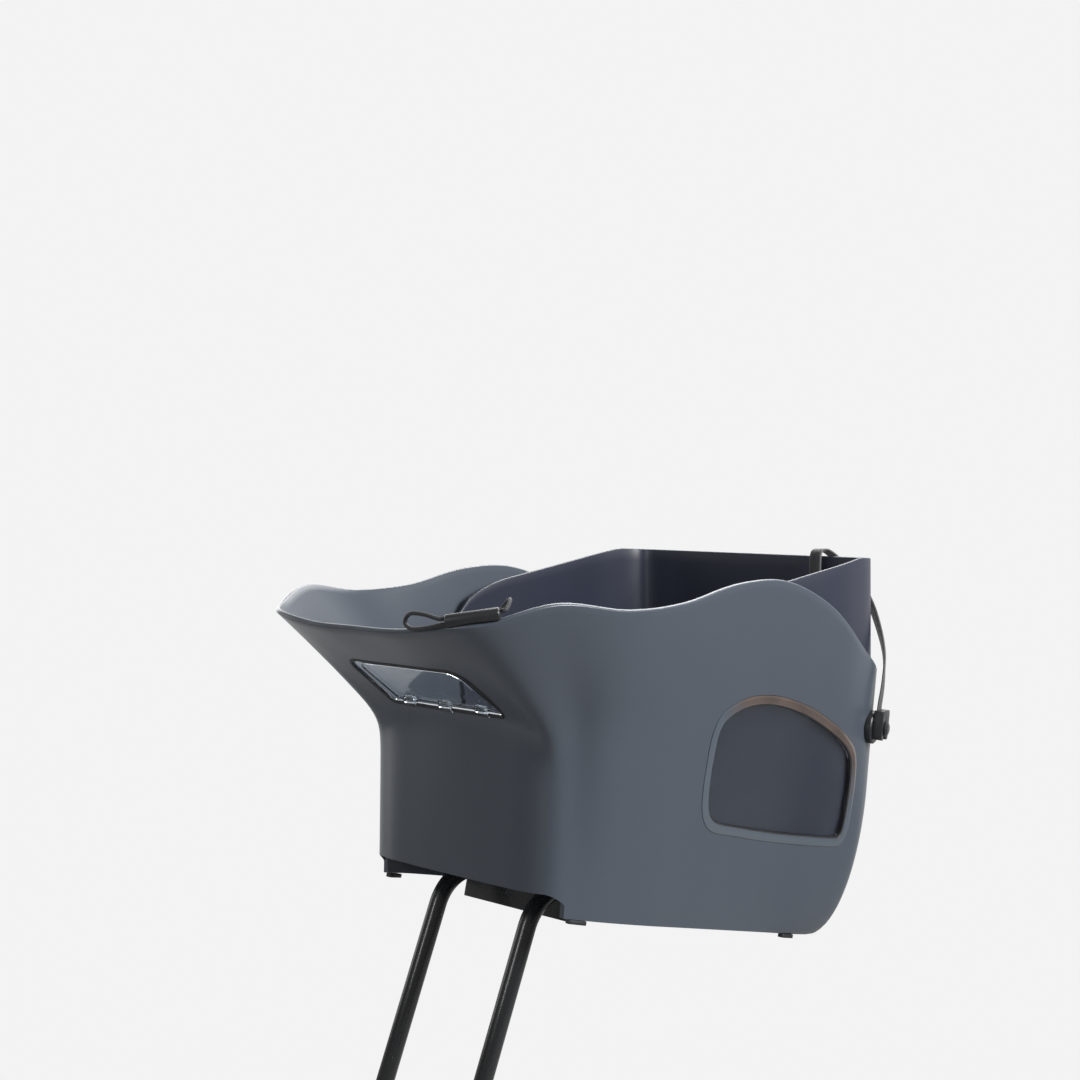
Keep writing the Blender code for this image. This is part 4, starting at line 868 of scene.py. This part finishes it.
def eye_loop(bar, behind, thickness, start_height):
    """Middle line of a strap that comes down and turns round a bar, and of its tail sewn back on it."""
    turn_radius = 1.5 * MM + seat_gap + thickness / 2
    apart = (thickness + seat_gap) / 2
    foot = 3 * turn_radius
    path = [(apart, start_height), (apart, (start_height + foot) / 2 + 2 * MM), (apart, foot + 5 * MM), (apart, foot),
            (turn_radius * 0.85, turn_radius)]
    facings = [(1, 0), (1, 0), (1, 0), (1, 0.1), (1, 0.2)]
    for step in range(21):
        angle = math.pi * step / 20
        path.append((turn_radius * math.cos(angle), -turn_radius * math.sin(angle)))
        facings.append((math.cos(angle), -math.sin(angle)))
    tail_path = [(-turn_radius, 0), (-turn_radius * 0.85, turn_radius), (-apart, foot), (-apart, foot + 10 * MM)]
    tail_facings = [(-1, 0), (-1, 0.2), (-1, 0.1), (-1, 0)]

    def spread(line, start=Vector()):
        return [start + a * behind + b * up_axis for a, b in line]
    return spread(path, bar), spread(facings), spread(tail_path, bar), spread(tail_facings)


# Polyester thread of the bar tacks, a little glossier than the tape
thread, tree, shader = new_material("black_polyester_thread")
place = node(tree, "ShaderNodeTexCoord").outputs["Object"]
twist = node(tree, "ShaderNodeTexWave", {"bands_direction": "DIAGONAL", "Vector": place, "Scale": 1000 / 0.9})
# Painted light and shade: diagonal bands along the twist of the thread are coloured lighter and darker
adjust(shader, {"Base Color": blend(tree, twist.outputs["Fac"], "151517", "35363A"), "Roughness": 0.42})
tail_steps = 6


def tether(name, points, facings, bar, behind, thickness, width, finish, replaced):
    """Strap with its turn round the eye, its sewn tail and the two bar tacks that hold it."""
    route = smooth_route(points, tail_steps)
    facings = smooth_route(facings, tail_steps)
    turn_route, turn_facings, tail_route, tail_facings = eye_loop(bar, behind, thickness, route[-1].z - bar.z)
    offset = (thickness + seat_gap) / 2 * behind
    turn_route = [point - offset for point in turn_route]
    tail_route = [point - offset for point in tail_route]
    whole = route[:-1] + turn_route
    strap, run = swept(name, whole, facings[:-1] + turn_facings, tape_outline(width, thickness), finish)
    tail = swept(name + "_tail", smooth_route(tail_route, tail_steps), smooth_route(tail_facings, tail_steps),
                 tape_outline(width, thickness * 0.98), finish)[0]
    threads = bmesh.new()
    stitch = Matrix.Diagonal((0.36 * MM, 0.22 * MM, 1.0 * MM, 1))
    for row in (4.2 * MM, 8.6 * MM):
        for index in range(-6, 7):
            across = index / 6 * (width / 2 - 2 * MM)
            spot = tail_route[2] + shell_place + across * across_axis + row * up_axis - thickness / 2 * behind
            lean = Matrix.Rotation(math.radians(14 if index % 2 else -14), 4, "Y")
            bmesh.ops.create_uvsphere(threads, u_segments=8, v_segments=6, radius=1,
                                      matrix=Matrix.Translation(spot) @ lean @ stitch)
    mesh = bpy.data.meshes.new(name + "_bar_tacks")
    threads.to_mesh(mesh)
    threads.free()
    mesh.shade_smooth()
    mesh.materials.append(thread)
    tacks = bpy.data.objects.new(name + "_bar_tacks", mesh)
    scene.collection.objects.link(tacks)
    for piece in (strap, tail, tacks):
        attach(piece, "basket")
    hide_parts(replaced)


# Way of the rear strap over the back panel: its middle line in millimetres, and the direction that it faces
rear_strap_rows = (
    (142.2, 236.0, 129, 0.92, 0.39, 0.0), (142.6, 237.0, 141, 0.92, 0.39, 0.0), (142.8, 240.5, 160, 0.88, 0.46, 0.0),
    (140.0, 244.8, 183, 0.76, 0.63, 0.1), (131.5, 247.6, 206, 0.58, 0.78, 0.2), (119.5, 249.6, 228, 0.42, 0.84, 0.3),
    (102.5, 249.8, 247, 0.25, 0.85, 0.45), (88.0, 247.0, 261, 0.12, 0.75, 0.65), (80.0, 242.0, 268.8, 0.05, 0.45, 0.9),
    (77.0, 235.6, 270.3, 0.0, 0.0, 1.0), (76.0, 231.2, 267.6, 0.0, -0.8, 0.6), (76.0, 230.2, 262, 0.0, -1.0, 0.1),
)
rear_webbing = webbing_material("black_nylon_webbing_12_mm", "1A1A1C", "38383B", "4A4A4C", 12 * MM)
rear_points = [Vector(row[:3]) * MM for row in rear_strap_rows]
rear_facings = [Vector(row[3:]) for row in rear_strap_rows]
rear_bar_height = 186 * MM
rear_bar = Vector((rear_points[-1].x, rear_points[-1].y, rear_bar_height))
tether("rear_strap", rear_points, rear_facings, rear_bar, -rear_axis, 2 * MM, 12 * MM, rear_webbing,
       "rear_tether_strap")

# Front tether: 16 mm webbing, screwed under a steel plate to the slope behind the lip. It hangs down clear of the
# front wall and is sewn back on itself round the eye of the front hook.
strap_station = 2.1
front_thickness = 1.8 * MM
hang_clearance = 20 * MM
hang_drop = 31 * MM
front_bar_height = 98 * MM
strap_depth = wall + 1 * MM + front_thickness / 2
front_strap_rows = (0.955, 0.9, 0.84, 0.78, 0.735, 0.7)
front_points = [skin(strap_station, row, strap_depth) for row in front_strap_rows]
front_facings = [-skin_normal(strap_station, row) for row in front_strap_rows]
knee_point = front_points[-1]
hang_reach = skin(strap_station, 0.5, wall).y + hang_clearance - knee_point.y
for behind_share, below_share in ((0.32, 0.2), (0.62, 0.45), (0.9, 0.74), (1, 1)):
    front_points.append(knee_point + Vector((0, behind_share * hang_reach, -below_share * hang_drop)))
front_facings += [Vector((0, 0.6, 0.8)), Vector((0, 0.75, 0.65)), Vector((0, 1, 0.25)), rear_axis]
front_bar = Vector((knee_point.x, front_points[-1].y, front_bar_height))
front_webbing = webbing_material("black_nylon_webbing_16_mm", "1A1A1C", "343437", "424245", 16 * MM)
tether("front_strap", front_points, front_facings, front_bar, rear_axis, front_thickness, 16 * MM, front_webbing,
       "front_tether_strap")

# Pull loop of the front tether: 3 mm elastic cord with a braided cover. It comes through the plate, runs up to
# the rim and through the sleeve, and turns back into the sleeve.
fixing_low = strap_depth + front_thickness / 2 + seat_gap
fixing_high = fixing_low + 2 * MM
spot = bare_skin(strap_station, 0.9)
inward = -skin_normal(strap_station, 0.9)
fixing_up = bare_skin(strap_station, 0.95) - bare_skin(strap_station, 0.85)
fixing_up = (fixing_up - fixing_up.dot(inward) * inward).normalized()
cord_width = 3 * MM
cord_hole_offset = 14 * MM
cord_spot = spot + cord_hole_offset * fixing_up.cross(inward)
sleeve_station = 2.7
sleeve_lift = 5.8 * MM
sleeve_radius = 4.5 * MM
half_sleeve = 19 * MM
sleeve_middle = skin(sleeve_station, 1, 2.5 * MM) + sleeve_lift * up_axis
sleeve_along = (bare_skin(sleeve_station + 0.4, 1) - bare_skin(sleeve_station - 0.4, 1)).normalized()
sleeve_up = (up_axis - up_axis.dot(sleeve_along) * sleeve_along).normalized()
sleeve_inward = sleeve_up.cross(sleeve_along)
bore_offset = 2.1 * MM
cord_points = [cord_spot + (fixing_low + fixing_high) / 2 * inward, cord_spot + (fixing_high + cord_width / 2) * inward,
               cord_spot + (fixing_high + 1.5 * cord_width) * inward]
for share, lift in ((0.3, 0), (0.62, 0.1), (0.95, 1.2)):
    cord_points.append(skin(strap_station + 1.35 * share, 0.9 + 0.1 * share, fixing_high + cord_width)
                       + lift * sleeve_lift * up_axis)
through_end = sleeve_middle + bore_offset * sleeve_up + half_sleeve * sleeve_along
cord_points += [through_end + sleeve_radius * sleeve_along, through_end]
cord_route = smooth_route(cord_points, 4)
# The loop in front of the sleeve, in millimetres along the sleeve, above it and inwards
loop_rows = (
    (0, 2.1, 0), (-4, 2.2, 0), (-14, 6.4, 4.5), (-24, 8.2, 12.5), (-29, 5.4, 18), (-30, 1, 19.5), (-25, -2.4, 14.5),
    (-14, -2.8, 5), (-4, -2.1, 0),
)
sleeve_front = sleeve_middle - half_sleeve * sleeve_along
cord_route += smooth_route([sleeve_front + MM * (a * sleeve_along + b * sleeve_up + c * sleeve_inward)
                            for a, b, c in loop_rows], 4)
cord_route.append(sleeve_middle - bore_offset * sleeve_up - sleeve_radius * sleeve_along)
cord_route = smooth_route(cord_route, 2)

# Braided cover of the cord: two sets of six strands that cross, each lying over the other in turn
strand_count = 6
braid_pitch = 2.4 * MM
braid, tree, shader = new_material("braided_elastic_cord")
place = node(tree, "ShaderNodeUVMap", {"uv_map": "weave"})
parts = node(tree, "ShaderNodeSeparateXYZ", {0: place}).outputs
strands = []
for lean in (1, -1):
    climb = calc(tree, "MULTIPLY", parts["Y"], lean * 2 * math.pi / braid_pitch)
    strands.append(calc(tree, "SINE", calc(tree, "MULTIPLY_ADD", parts["X"], 2 * strand_count / cord_width, climb)))
level = node(tree, "ShaderNodeMapRange", {0: calc(tree, "MAXIMUM", *strands), 1: -1.0, 2: 1.0})
# Painted light and shade: the strands are coloured darker where they dip under the others and lighter where they lie on
# top
adjust(shader, {"Base Color": blend(tree, level, "121213", "2E2F32"), "Roughness": 0.66,
                "Normal": bump(tree, level, 0.6, 0.2 * MM)})
sides = 16
turns = [2 * math.pi * i / sides for i in range(sides)]
cord_outline = [(cord_width / 2 * math.cos(turn), cord_width / 2 * math.sin(turn)) for turn in turns]
loop_cord, cord_run = swept("pull_loop", cord_route, None, cord_outline, braid)
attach(loop_cord, "basket")
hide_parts("front_tether_loop")
